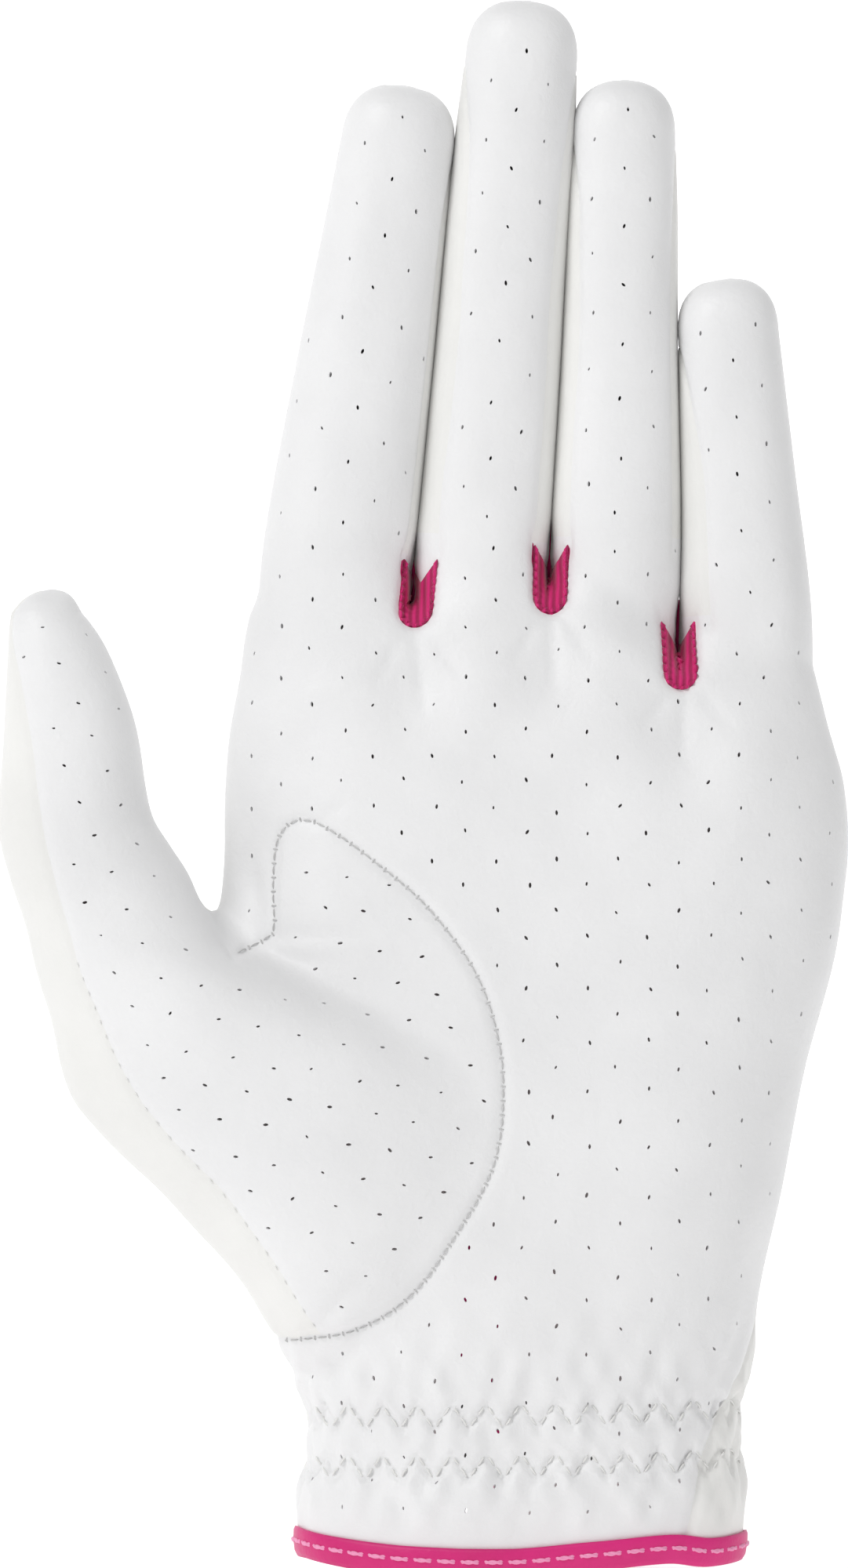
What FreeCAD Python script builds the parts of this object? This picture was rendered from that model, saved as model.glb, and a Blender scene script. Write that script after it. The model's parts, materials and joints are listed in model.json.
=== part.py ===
"""Left-hand golf glove, filled out as if worn.

X runs across the hand, from the thumb (-X) to the little finger (+X).  The palm faces -Y and the
fingers point up, along +Z.  The origin is the middle of the wrist opening, at the hem.  All
lengths are millimetres and all angles degrees.
"""
import FreeCAD, Part
import math
import os

import Sketcher
from FreeCAD import Placement, Rotation, Vector

FINGERS = ("index", "middle", "ring", "little")
CLEAR_OF_GLOVE = 120          # reach of a cutting sketch beyond the glove, mm

# Driving dimensions.  Each finger: root centre, lean in the XZ plane, radii and lengths along it.
DIMENSIONS = {
    "wall": 0.9,
    "gap": 0.3,
    "face_span": 110,
    "finger_y": 2.0,

    "index_x": -25.5, "index_z": 143.6, "index_tilt": 8.5,
    "index_root": 10.2, "index_knuckle": 9.3, "index_tip": 7.6,
    "index_lower": 24, "index_length": 65,
    "middle_x": -5.05, "middle_z": 144.5, "middle_tilt": 4.5,
    "middle_root": 8.85, "middle_knuckle": 8.5, "middle_tip": 7.6,
    "middle_lower": 27, "middle_length": 75.6,
    "ring_x": 13.6, "ring_z": 144.5, "ring_tilt": 1,
    "ring_root": 8.75, "ring_knuckle": 7.9, "ring_tip": 6.5,
    "ring_lower": 25, "ring_length": 64.2,
    "little_x": 32, "little_z": 134, "little_tilt": -4,
    "little_root": 8.8, "little_knuckle": 7.8, "little_tip": 6.7,
    "little_lower": 19, "little_length": 47,

    "thumb_x": -56.6, "thumb_y": -5.0, "thumb_z": 89.5, "thumb_tilt": -12.5, "thumb_turn": 25,
    "thumb_root": 12.9, "thumb_knuckle": 11.2, "thumb_tip": 7.2,
    "thumb_lower": 17, "thumb_length": 48.8,

    # Hand tube: centre, height, width and depth of each level.
    "hem_x": -0.15, "hem_y": -0.2, "hem_z": 0.8, "hem_width": 59.4, "hem_depth": 38.4,
    "cuff_x": -0.15, "cuff_y": -0.2, "cuff_z": 6.5, "cuff_width": 59.4, "cuff_depth": 38.4,
    "neck_x": 0.6, "neck_y": 0.5, "neck_z": 22, "neck_width": 60.4, "neck_depth": 37,
    "heel_x": -0.3, "heel_y": 0.8, "heel_z": 36, "heel_width": 68, "heel_depth": 36.4,
    "thenar_x": -2, "thenar_y": 0.5, "thenar_z": 56, "thenar_width": 78, "thenar_depth": 35,
    "palm_x": -1.2, "palm_y": -0.5, "palm_z": 78, "palm_width": 83.6, "palm_depth": 32,
    "widest_x": 2.5, "widest_y": -0.3, "widest_z": 100, "widest_width": 87, "widest_depth": 29,
    "pads_x": 1.6, "pads_y": 1, "pads_z": 122, "pads_width": 82.6, "pads_depth": 25,
    "crown_x": 1.9, "crown_y": 2, "crown_z": 148, "crown_width": 75, "crown_depth": 20.6,
    "side_seam_y": 0.5,

    # Mound of the thumb, from the thumb's root down into the palm.
    "mound_tilt": -20,
    "bulge_x": -34.2, "bulge_y": -3, "bulge_z": 72.1, "bulge_width": 56, "bulge_depth": 34,
    "foot_x": -22.5, "foot_y": -3, "foot_z": 46.8, "foot_width": 34, "foot_depth": 32,
    "toe_x": -17, "toe_y": -2, "toe_z": 34, "toe_width": 17, "toe_depth": 16,

    # Knit gussets at the finger crotches.
    "gusset_width": 4.4, "gusset_height": 9.2, "gusset_y": 1.6, "gusset_depth": 22.4,
    "gusset_1_x": -14.9, "gusset_1_z": 134.2, "gusset_1_tilt": 6,
    "gusset_2_x": 4.4, "gusset_2_z": 136.2, "gusset_2_tilt": 1.5,
    "gusset_3_x": 22.9, "gusset_3_z": 125.5, "gusset_3_tilt": -2.5,

    # Cuff: binding, elastic tapes and the slit in the back.
    "binding": 0.8, "binding_height": 5.2,
    "tape_length": 30, "tape_height": 4.6, "tape_thickness": 0.8, "tape_y": -16.6,
    "lower_tape_z": 13.2, "upper_tape_z": 20.4,
    "slit_x": -6, "slit_height": 44, "slit_low_width": 7, "slit_high_width": 1.4,
    "slit_binding": 1.6,

    # Closure tab on the back, hinged along its sewn edge.
    "back_y": 19, "tab_x": -16, "tab_z": 15, "tab_height": 27, "tab_length": 38,
    "tab_step": 3, "tab_leather": 1.4, "tab_corner": 9,
    "patch": 1.0, "hook_x": 3, "hook_length": 15, "loop_x": -1.5, "loop_length": 18,
    "patch_height": 21, "patch_z": 18,

    # Sewing thread.
    "thread": 0.5, "stitch": 1.5, "stitch_pitch": 2.0,
    "binding_stitch": 2.1, "binding_pitch": 3.3,
    "zigzag_pitch": 4.8, "zigzag_rise": 3.4,
}

doc = FreeCAD.newDocument("golf_glove")
sheet = doc.addObject("Spreadsheet::Sheet", "dims")
for row, (alias, value) in enumerate(DIMENSIONS.items(), start=1):
    sheet.set(f"A{row}", alias)
    sheet.set(f"B{row}", str(value))
    sheet.setAlias(f"B{row}", alias)
doc.recompute()

parts = []                    # every sub-part, in the order it is made


def size(alias):
    """A driving dimension as a number."""
    return float(sheet.get(alias))


def new_body(name):
    body = doc.addObject("PartDesign::Body", name)
    parts.append(body)
    return body


def new_sketch(body, name, role):
    """Attach an empty sketch to one of the body's own origin planes."""
    sketch = body.newObject("Sketcher::SketchObject", f"{body.Name}_{name}")
    plane = [feature for feature in body.Origin.OriginFeatures if feature.Role == role][0]
    sketch.AttachmentSupport = (plane, [""])
    sketch.MapMode = "FlatFace"
    return sketch


def constrain(sketch, kind, *items):
    return sketch.addConstraint(Sketcher.Constraint(kind, *items))


def dimension(sketch, name, expression, kind, *items):
    """Add a named dimension to a sketch and bind it to the spreadsheet."""
    sketch.renameConstraint(constrain(sketch, kind, *items), name)
    sketch.setExpression(f"Constraints.{name}", expression)


def bind_offset(sketch, x, y, z, tilt="0"):
    """Place a sketch on its plane; tilt turns it about the plane's own Y axis."""
    sketch.AttachmentOffset = Placement(Vector(), Rotation(Vector(0, 1, 0), 1))
    sketch.setExpression(".AttachmentOffset.Rotation.Angle", f"({tilt}) * 1deg")
    for axis, expression in zip("xyz", (x, y, z)):
        sketch.setExpression(f".AttachmentOffset.Base.{axis}", expression)


def bind_placement(thing, x, y, z, tilt="0"):
    """Place a sub-part; tilt leans it about the Y axis, towards +X."""
    thing.Placement = Placement(Vector(), Rotation(Vector(0, 1, 0), 1))
    thing.setExpression(".Placement.Rotation.Angle", f"({tilt}) * 1deg")
    for axis, expression in zip("xyz", (x, y, z)):
        thing.setExpression(f".Placement.Base.{axis}", expression)


def polygon(sketch, corners):
    """Closed outline whose corners are (x, y, x expression, y expression)."""
    count = len(corners)
    for i, (x, y, _, _) in enumerate(corners):
        following = corners[(i + 1) % count]
        sketch.addGeometry(Part.LineSegment(Vector(x, y, 0), Vector(following[0], following[1], 0)))
    for i in range(count):
        constrain(sketch, "Coincident", i, 2, (i + 1) % count, 1)
    for i, (x, y, across, up) in enumerate(corners):
        dimension(sketch, f"across_{i}", across, "DistanceX", -1, 1, i, 1, x)
        dimension(sketch, f"up_{i}", up, "DistanceY", -1, 1, i, 1, y)


def draw_stadium(sketch, name, width, depth):
    """Round-ended outline about the sketch's origin: straight front and back, half-round sides."""
    half_run, radius = 10, 12
    left = sketch.addGeometry(Part.ArcOfCircle(
        Part.Circle(Vector(-half_run, 0, 0), Vector(0, 0, 1), radius), math.pi / 2, 3 * math.pi / 2))
    right = sketch.addGeometry(Part.ArcOfCircle(
        Part.Circle(Vector(half_run, 0, 0), Vector(0, 0, 1), radius), -math.pi / 2, math.pi / 2))
    front = sketch.addGeometry(
        Part.LineSegment(Vector(-half_run, -radius, 0), Vector(half_run, -radius, 0)))
    back = sketch.addGeometry(
        Part.LineSegment(Vector(half_run, radius, 0), Vector(-half_run, radius, 0)))
    constrain(sketch, "Tangent", left, 2, front, 1)
    constrain(sketch, "Tangent", front, 2, right, 1)
    constrain(sketch, "Tangent", right, 2, back, 1)
    constrain(sketch, "Tangent", back, 2, left, 1)
    constrain(sketch, "Equal", left, right)
    constrain(sketch, "PointOnObject", left, 3, -1)
    constrain(sketch, "Symmetric", left, 3, right, 3, -2)
    dimension(sketch, f"{name}_run", f"{width} - ({depth})", "DistanceX", left, 3, right, 3, 2 * half_run)
    dimension(sketch, f"{name}_radius", f"({depth}) / 2", "Radius", right, radius)


def section(body, level, tilt, inset):
    """Sketch of the hand tube or the thumb mound at one level, smaller by inset all round."""
    sketch = new_sketch(body, f"{level}_{'inner' if inset else 'outer'}", "XY_Plane")
    bind_offset(sketch, f"dims.{level}_x", f"dims.{level}_y", f"dims.{level}_z", tilt)
    shrink = " - 2 * dims.wall" if inset else ""
    draw_stadium(sketch, level, f"dims.{level}_width{shrink}", f"dims.{level}_depth{shrink}")
    return sketch


def loft(body, kind, name, sketches):
    doc.recompute()
    feature = body.newObject(f"PartDesign::{kind}", f"{body.Name}_{name}")
    feature.Profile = sketches[0]
    feature.Sections = sketches[1:]
    feature.Ruled = True
    doc.recompute()
    return feature


HAND_LEVELS = ("hem", "cuff", "neck", "heel", "thenar", "palm", "widest", "pads", "crown")


def hand_loft(body, kind, inset):
    sketches = [section(body, level, "0", inset) for level in HAND_LEVELS]
    return loft(body, kind, f"hand_{kind}", sketches)


def mound_loft(body, kind, inset):
    """Flattened cone from the thumb's root plane down into the palm."""
    shrink = " - 2 * dims.wall" if inset else ""
    top = new_sketch(body, f"root_{'inner' if inset else 'outer'}", "XY_Plane")
    bind_offset(top, "dims.thumb_x + dims.gap * sin(-dims.thumb_tilt * 1deg)", "dims.thumb_y",
                "dims.thumb_z - dims.gap * cos(dims.thumb_tilt * 1deg)", "dims.thumb_tilt")
    draw_stadium(top, "root", f"2 * dims.thumb_root + 0.4{shrink}", f"2 * dims.thumb_root{shrink}")
    lower = [section(body, level, "dims.mound_tilt", inset) for level in ("bulge", "foot", "toe")]
    return loft(body, kind, f"mound_{kind}", [top] + lower)


def pocket(body, sketch, towards_back=None):
    """Cut through everything: both ways, or only towards the back (+Y) or front (-Y)."""
    doc.recompute()
    before = body.Tip.Shape.Volume
    feature = body.newObject("PartDesign::Pocket", f"{sketch.Name}_pocket")
    feature.Profile = sketch
    feature.Type = "ThroughAll"
    if towards_back is None:
        feature.Midplane = True
    else:
        feature.Reversed = not towards_back
    doc.recompute()
    if not feature.Shape.Volume < before - 1e-3:
        raise RuntimeError(f"{feature.Name} cuts nothing")


def keep_side(body, seam, keep_front):
    """Cut away the part of a shell that is behind (or in front of) its side seam."""
    sketch = new_sketch(body, "side_seam", "XZ_Plane")
    bind_offset(sketch, "0", "0", f"-({seam})")
    reach = CLEAR_OF_GLOVE
    polygon(sketch, [
        (-reach, -reach, str(-reach), str(-reach)),
        (reach, -reach, str(reach), str(-reach)),
        (reach, 2 * reach, str(reach), str(2 * reach)),
        (-reach, 2 * reach, str(-reach), str(2 * reach)),
    ])
    pocket(body, sketch, towards_back=keep_front)


def finger_root_corners():
    """Corners of the hand's top edge: the two ends of each finger's root plane, one gap lower."""
    corners = []
    for finger in FINGERS:
        tilt = math.radians(size(f"{finger}_tilt"))
        reach = size(f"{finger}_root") + size("gap")
        for side in (-1, 1):
            x = size(f"{finger}_x") + side * reach * math.cos(tilt)
            z = size(f"{finger}_z") - side * reach * math.sin(tilt) - size("gap")
            arm = f"(dims.{finger}_root + dims.gap)"
            angle = f"(dims.{finger}_tilt * 1deg)"
            across = f"dims.{finger}_x + {side} * {arm} * cos{angle}"
            up = f"dims.{finger}_z - {side} * {arm} * sin{angle} - dims.gap"
            corners.append((x, z, across, up))
    return corners


def cut_finger_roots(body):
    """Trim the top of the hand to the root plane of each finger."""
    sketch = new_sketch(body, "finger_roots", "XZ_Plane")
    bind_offset(sketch, "0", "0", "0")
    corners = finger_root_corners()
    far, high = CLEAR_OF_GLOVE, 2 * CLEAR_OF_GLOVE
    first, last = corners[0], corners[-1]
    left = [(-far, high, str(-far), str(high)), (-far, first[1], str(-far), first[3])]
    right = [(far, last[1], str(far), last[3]), (far, high, str(far), str(high))]
    polygon(sketch, left + corners + right)
    pocket(body, sketch)


def draw_gusset(sketch):
    """Shield outline: flat top, straight sides, half-round foot."""
    half, rise = 3, 5
    foot = sketch.addGeometry(Part.ArcOfCircle(
        Part.Circle(Vector(0, 0, 0), Vector(0, 0, 1), half), math.pi, 2 * math.pi))
    right = sketch.addGeometry(Part.LineSegment(Vector(half, 0, 0), Vector(half, rise, 0)))
    top = sketch.addGeometry(Part.LineSegment(Vector(half, rise, 0), Vector(-half, rise, 0)))
    left = sketch.addGeometry(Part.LineSegment(Vector(-half, rise, 0), Vector(-half, 0, 0)))
    constrain(sketch, "Coincident", foot, 3, -1, 1)
    constrain(sketch, "Tangent", foot, 2, right, 1)
    constrain(sketch, "Coincident", right, 2, top, 1)
    constrain(sketch, "Coincident", top, 2, left, 1)
    constrain(sketch, "Tangent", left, 2, foot, 1)
    constrain(sketch, "Vertical", right)
    constrain(sketch, "Horizontal", top)
    dimension(sketch, "foot_radius", "dims.gusset_width / 2", "Radius", foot, half)
    dimension(sketch, "side", "dims.gusset_height - dims.gusset_width / 2",
              "DistanceY", right, 1, right, 2, rise)


def cut_gusset_windows(body):
    for number in (1, 2, 3):
        sketch = new_sketch(body, f"window_{number}", "XZ_Plane")
        sketch.AttachmentOffset = Placement(Vector(), Rotation(Vector(0, 0, 1), 1))
        sketch.setExpression(".AttachmentOffset.Rotation.Angle", f"-dims.gusset_{number}_tilt * 1deg")
        sketch.setExpression(".AttachmentOffset.Base.x", f"dims.gusset_{number}_x")
        sketch.setExpression(".AttachmentOffset.Base.y", f"dims.gusset_{number}_z")
        draw_gusset(sketch)
        pocket(body, sketch)


def draw_slit(sketch, margin):
    """Tall wedge from below the hem up the back of the wrist."""
    half_low = f"(dims.slit_low_width / 2 + {margin})"
    half_high = f"(dims.slit_high_width / 2 + {margin})"
    top = f"dims.slit_height + {margin}"
    polygon(sketch, [
        (-12, -2, f"dims.slit_x - {half_low}", "-2"),
        (-4, -2, f"dims.slit_x + {half_low}", "-2"),
        (-7, 44, f"dims.slit_x + {half_high}", top),
        (-9, 44, f"dims.slit_x - {half_high}", top),
    ])


def cut_slit(body, margin):
    sketch = new_sketch(body, "slit", "XZ_Plane")
    bind_offset(sketch, "0", "0", "-dims.side_seam_y")
    draw_slit(sketch, margin)
    pocket(body, sketch, towards_back=True)


def make_hand_panels():
    for name, is_front in (("palm_panel", True), ("back_panel", False)):
        body = new_body(name)
        hand_loft(body, "AdditiveLoft", inset=False)
        hand_loft(body, "SubtractiveLoft", inset=True)
        mound_loft(body, "SubtractiveLoft", inset=False)
        keep_side(body, "dims.side_seam_y", keep_front=is_front)
        cut_finger_roots(body)
        cut_gusset_windows(body)
        if not is_front:
            cut_slit(body, "dims.slit_binding")


def make_thumb_mound():
    for name, is_front in (("thumb_panel_base", True), ("thumb_back_base", False)):
        body = new_body(name)
        mound_loft(body, "AdditiveLoft", inset=False)
        mound_loft(body, "SubtractiveLoft", inset=True)
        hand_loft(body, "SubtractiveLoft", inset=False)
        keep_side(body, "dims.thumb_y", keep_front=is_front)


def make_gussets():
    """Each gusset spans the depth of the hand at its crotch, from palm to back."""
    for number in (1, 2, 3):
        body = new_body(f"gusset_{number}")
        sketch = new_sketch(body, "outline", "XZ_Plane")
        draw_gusset(sketch)
        doc.recompute()
        pad = body.newObject("PartDesign::Pad", f"{body.Name}_pad")
        pad.Profile = sketch
        pad.Midplane = True
        pad.setExpression("Length", "dims.gusset_depth")
        prefix = f"dims.gusset_{number}"
        bind_placement(body, f"{prefix}_x", "dims.gusset_y", f"{prefix}_z", f"{prefix}_tilt")


def turn_profile(sketch, turn):
    """Turn a wall's profile so that its middle faces the given side: 0 is the palm side."""
    bind_offset(sketch, "0", "0", "0", f"{turn} - 90")


def draw_lower_profile(sketch, digit):
    """Tapered wall from the digit's root to its middle joint."""
    top = f"dims.{digit}_lower - dims.gap"
    polygon(sketch, [
        (10, 0, f"dims.{digit}_root", "0"),
        (9, 20, f"dims.{digit}_knuckle", top),
        (8, 20, f"dims.{digit}_knuckle - dims.wall", top),
        (9, 0, f"dims.{digit}_root - dims.wall", "0"),
    ])


def draw_upper_profile(sketch, digit):
    """Tapered wall from the middle joint up, closed by a half-round tip."""
    low, centre, outer, inner = 20, 50, 8, 7
    quarter = (0, math.pi / 2)
    side = sketch.addGeometry(Part.LineSegment(Vector(9, low, 0), Vector(outer, centre, 0)))
    dome = sketch.addGeometry(Part.ArcOfCircle(
        Part.Circle(Vector(0, centre, 0), Vector(0, 0, 1), outer), *quarter))
    peak = sketch.addGeometry(Part.LineSegment(Vector(0, centre + outer, 0), Vector(0, centre + inner, 0)))
    hollow = sketch.addGeometry(Part.ArcOfCircle(
        Part.Circle(Vector(0, centre, 0), Vector(0, 0, 1), inner), *quarter))
    inside = sketch.addGeometry(Part.LineSegment(Vector(inner, centre, 0), Vector(8, low, 0)))
    edge = sketch.addGeometry(Part.LineSegment(Vector(8, low, 0), Vector(9, low, 0)))
    constrain(sketch, "Coincident", side, 2, dome, 1)
    constrain(sketch, "Coincident", dome, 2, peak, 1)
    constrain(sketch, "Coincident", peak, 2, hollow, 2)
    constrain(sketch, "Coincident", hollow, 1, inside, 1)
    constrain(sketch, "Coincident", inside, 2, edge, 1)
    constrain(sketch, "Coincident", edge, 2, side, 1)
    constrain(sketch, "Horizontal", edge)
    constrain(sketch, "PointOnObject", dome, 3, -2)
    constrain(sketch, "Coincident", hollow, 3, dome, 3)
    constrain(sketch, "PointOnObject", peak, 1, -2)
    constrain(sketch, "PointOnObject", peak, 2, -2)
    constrain(sketch, "Horizontal", dome, 3, dome, 1)
    constrain(sketch, "Horizontal", hollow, 3, hollow, 1)
    dimension(sketch, "tip", f"dims.{digit}_tip", "Radius", dome, outer)
    dimension(sketch, "tip_inside", f"dims.{digit}_tip - dims.wall", "Radius", hollow, inner)
    dimension(sketch, "centre", f"dims.{digit}_length - dims.{digit}_tip",
              "DistanceY", -1, 1, dome, 3, centre)
    dimension(sketch, "low", f"dims.{digit}_lower", "DistanceY", -1, 1, side, 1, low)
    dimension(sketch, "knuckle", f"dims.{digit}_knuckle", "DistanceX", -1, 1, side, 1, 9)
    dimension(sketch, "knuckle_inside", f"dims.{digit}_knuckle - dims.wall",
              "DistanceX", -1, 1, inside, 2, 8)


def make_wall(digit, wall_name, segment, turn, span):
    """One wall of a finger tube: part of a full turn of its profile."""
    body = new_body(f"{digit}_{wall_name}_{segment}")
    sketch = new_sketch(body, "profile", "XZ_Plane")
    turn_profile(sketch, turn)
    if segment == "lower":
        draw_lower_profile(sketch, digit)
    else:
        draw_upper_profile(sketch, digit)
    doc.recompute()
    wall = body.newObject("PartDesign::Revolution", f"{body.Name}_turned")
    wall.Profile = sketch
    wall.ReferenceAxis = (sketch, ["V_Axis"])
    wall.Midplane = True
    wall.setExpression("Angle", f"({span}) * 1deg")
    depth = "dims.thumb_y" if digit == "thumb" else "dims.finger_y"
    bind_placement(body, f"dims.{digit}_x", depth, f"dims.{digit}_z", f"dims.{digit}_tilt")


def make_fingers():
    """Front and back walls are leather; a fourchette fills each side that faces another finger."""
    wide_span = "dims.face_span / 2 + 90"
    wide_shift = "(45 - dims.face_span / 4)"
    for finger in FINGERS:
        for segment in ("lower", "upper"):
            if finger == "index":
                make_wall(finger, "front", segment, f"-{wide_shift}", wide_span)
                make_wall(finger, "back", segment, f"180 + {wide_shift}", wide_span)
            elif finger == "little":
                make_wall(finger, "front", segment, wide_shift, wide_span)
                make_wall(finger, "back", segment, f"180 - {wide_shift}", wide_span)
            else:
                make_wall(finger, "front", segment, "0", "dims.face_span")
                make_wall(finger, "back", segment, "180", "dims.face_span")
            if finger != "index":
                make_wall(finger, "thumbward_fourchette", segment, "270", "180 - dims.face_span")
            if finger != "little":
                make_wall(finger, "outward_fourchette", segment, "90", "180 - dims.face_span")


def make_thumb():
    for segment in ("lower", "upper"):
        make_wall("thumb", "front", segment, "dims.thumb_turn", "180")
        make_wall("thumb", "back", segment, "180 + dims.thumb_turn", "180")


def binding_ring(body, name, height, outer_margin, inner_margin):
    """Sketch of a band round the hem, between two offsets of the hem's own outline."""
    sketch = new_sketch(body, name, "XY_Plane")
    bind_offset(sketch, "dims.hem_x", "dims.hem_y", height)
    for edge, margin in (("outer", outer_margin), ("inner", inner_margin)):
        grown = f" + 2 * ({margin})"
        draw_stadium(sketch, edge, f"dims.hem_width{grown}", f"dims.hem_depth{grown}")
    return sketch


def make_cuff_binding():
    """Folded strip, U-shaped in section, over the raw edge of the cuff, open at the slit."""
    body = new_body("cuff_binding")
    strip = binding_ring(body, "strip", "0", "dims.binding", "-dims.wall - dims.binding")
    doc.recompute()
    pad = body.newObject("PartDesign::Pad", "cuff_binding_pad")
    pad.Profile = strip
    pad.setExpression("Length", "dims.binding_height")
    channel = binding_ring(body, "channel", "dims.hem_z", "0", "-dims.wall")
    doc.recompute()
    groove = body.newObject("PartDesign::Pocket", "cuff_binding_channel_pocket")
    groove.Profile = channel
    groove.Type = "ThroughAll"
    groove.Reversed = True
    doc.recompute()
    if not groove.Shape.Volume < pad.Shape.Volume - 1:
        raise RuntimeError("the binding's channel cuts nothing")
    cut_slit(body, "dims.slit_binding")


def make_slit_binding():
    """Folded strip round the slit, thicker than the leather it holds."""
    body = new_body("slit_binding")
    outline = new_sketch(body, "outline", "XZ_Plane")
    bind_offset(outline, "0", "0", "-(dims.back_y + dims.binding / 2)")
    draw_slit(outline, "dims.slit_binding")
    doc.recompute()
    pad = body.newObject("PartDesign::Pad", "slit_binding_pad")
    pad.Profile = outline
    pad.setExpression("Length", "dims.wall + dims.binding")
    cut_slit(body, "0")
    foot = new_sketch(body, "foot", "XZ_Plane")
    bind_offset(foot, "0", "0", "0")
    polygon(foot, [
        (-30, -9, "-30", "-9"), (30, -9, "30", "-9"), (30, 0, "30", "0"), (-30, 0, "-30", "0"),
    ])
    pocket(body, foot)


def make_box(name, length, width, height, x, y, z):
    box = doc.addObject("Part::Box", name)
    for side, expression in (("Length", length), ("Width", width), ("Height", height)):
        box.setExpression(side, expression)
    bind_placement(box, x, y, z)
    parts.append(box)


def make_elastic_tapes():
    for level in ("lower", "upper"):
        make_box(f"{level}_elastic_tape", "dims.tape_length", "dims.tape_thickness",
                 "dims.tape_height", "-dims.tape_length / 2", "dims.tape_y", f"dims.{level}_tape_z")


def make_closure_tab():
    """Leather tab: a strip sewn flat to the back, then a step up over the patches."""
    body = new_body("closure_tab")
    sketch = new_sketch(body, "side_view", "XY_Plane")
    lift = "2 * dims.patch"
    polygon(sketch, [
        (0, -1.4, "0", "-dims.tab_leather"),
        (4.4, -1.4, "dims.tab_step + dims.tab_leather", "-dims.tab_leather"),
        (4.4, 0.6, "dims.tab_step + dims.tab_leather", f"{lift} - dims.tab_leather"),
        (38, 0.6, "dims.tab_length", f"{lift} - dims.tab_leather"),
        (38, 2, "dims.tab_length", lift),
        (3, 2, "dims.tab_step", lift),
        (3, 0, "dims.tab_step", "0"),
        (0, 0, "0", "0"),
    ])
    doc.recompute()
    pad = body.newObject("PartDesign::Pad", "closure_tab_pad")
    pad.Profile = sketch
    pad.setExpression("Length", "dims.tab_height")
    doc.recompute()
    free_end = pad.Shape.BoundBox.XMax
    corners = [
        f"Edge{number}" for number, edge in enumerate(pad.Shape.Edges, start=1)
        if edge.BoundBox.XMin > free_end - 1e-3 and edge.BoundBox.ZLength < 1e-3
    ]
    rounding = body.newObject("PartDesign::Fillet", "closure_tab_corners")
    rounding.Base = (pad, corners)
    rounding.setExpression("Radius", "dims.tab_corner")
    bind_placement(body, "dims.tab_x", "dims.back_y + dims.gap + dims.tab_leather", "dims.tab_z")


def make_patches():
    """Hook patch under the tab, loop patch on the back of the hand; a gap apart."""
    make_box("loop_patch", "dims.loop_length", "dims.patch", "dims.patch_height",
             "dims.loop_x", "dims.back_y", "dims.patch_z")
    make_box("hook_patch", "dims.hook_length", "dims.patch", "dims.patch_height",
             "dims.hook_x", "dims.back_y + dims.gap + dims.patch", "dims.patch_z")


def hand_level(z):
    """Centre x, centre y, width and depth of the hand tube at a height (straight between levels)."""
    heights = [size(f"{level}_z") for level in HAND_LEVELS]
    upper = next(i for i, height in enumerate(heights) if height >= z and i > 0)
    share = (z - heights[upper - 1]) / (heights[upper] - heights[upper - 1])
    below, above = HAND_LEVELS[upper - 1], HAND_LEVELS[upper]
    return [
        size(f"{below}_{item}") * (1 - share) + size(f"{above}_{item}") * share
        for item in ("x", "y", "width", "depth")
    ]


def around_hand(distance, z, lift):
    """Point on the hand tube, a distance from the middle of its front, lift proud of the leather."""
    x, y, width, depth = hand_level(z)
    half_run = (width - depth) / 2
    radius = depth / 2 + lift
    turned = abs(distance) - half_run
    side = math.copysign(1, distance)
    if turned <= 0:
        return Vector(x + distance, y - radius, z)
    arc = math.pi * depth / 2
    if turned <= arc:
        angle = turned / (depth / 2)
        return Vector(x + side * (half_run + radius * math.sin(angle)), y - radius * math.cos(angle), z)
    return Vector(x + side * (half_run - (turned - arc)), y + radius, z)


THREAD_SEAT = 0.6     # share of its thickness that a thread's centre stands above the cloth


def make_stitches(name, ends):
    """A group of separate straight stitches, one for each pair of end points."""
    radius = size("thread") / 2
    solids = []
    for start, end in ends:
        along = end - start
        solids.append(Part.makeCylinder(radius, along.Length, start, along))
    group = doc.addObject("Part::Feature", name)
    group.Shape = Part.makeCompound(solids)
    group.Placement = Placement()
    parts.append(group)


def make_binding_stitches():
    """Straight stitches round the hem, on the binding, stopping short of the slit."""
    share_of_height, first_stitch = 0.6, 0.2
    height = size("binding_height") * share_of_height
    lift = size("binding") + THREAD_SEAT * size("thread")
    _, _, width, depth = hand_level(size("hem_z"))
    half_girth = (width - depth) + math.pi * depth / 2
    clear = size("slit_low_width") / 2 + size("slit_binding") + size("binding_pitch")
    ends = []
    for number in range(int(half_girth / size("binding_pitch"))):
        distance = (number + first_stitch) * size("binding_pitch")
        for side in (-1, 1):
            start = around_hand(side * distance, height, lift)
            end = around_hand(side * (distance + size("binding_stitch")), height, lift)
            at_back = start.y > size("side_seam_y")
            if not (at_back and min(abs(start.x - size("slit_x")), abs(end.x - size("slit_x"))) < clear):
                ends.append((start, end))
    make_stitches("binding_stitching", ends)


def make_zigzag_stitches():
    """Zigzag over each elastic tape, across the palm side from edge to edge."""
    half_pitch = size("zigzag_pitch") / 2
    share_of_edge = 0.45
    lift = size("thread")
    for level in ("lower", "upper"):
        middle = size(f"{level}_tape_z") + size("tape_height") / 2
        _, _, width, depth = hand_level(middle)
        reach = (width - depth) / 2 + share_of_edge * math.pi * depth / 2
        count = int(reach / half_pitch)
        ends = []
        for step in range(-count, count):
            rise = size("zigzag_rise") / 2 * (1 if step % 2 else -1)
            gap = size("thread")
            start = around_hand(step * half_pitch + gap, middle - rise, lift)
            end = around_hand((step + 1) * half_pitch - gap, middle + rise, lift)
            ends.append((start, end))
        make_stitches(f"{level}_zigzag_stitching", ends)


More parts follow.
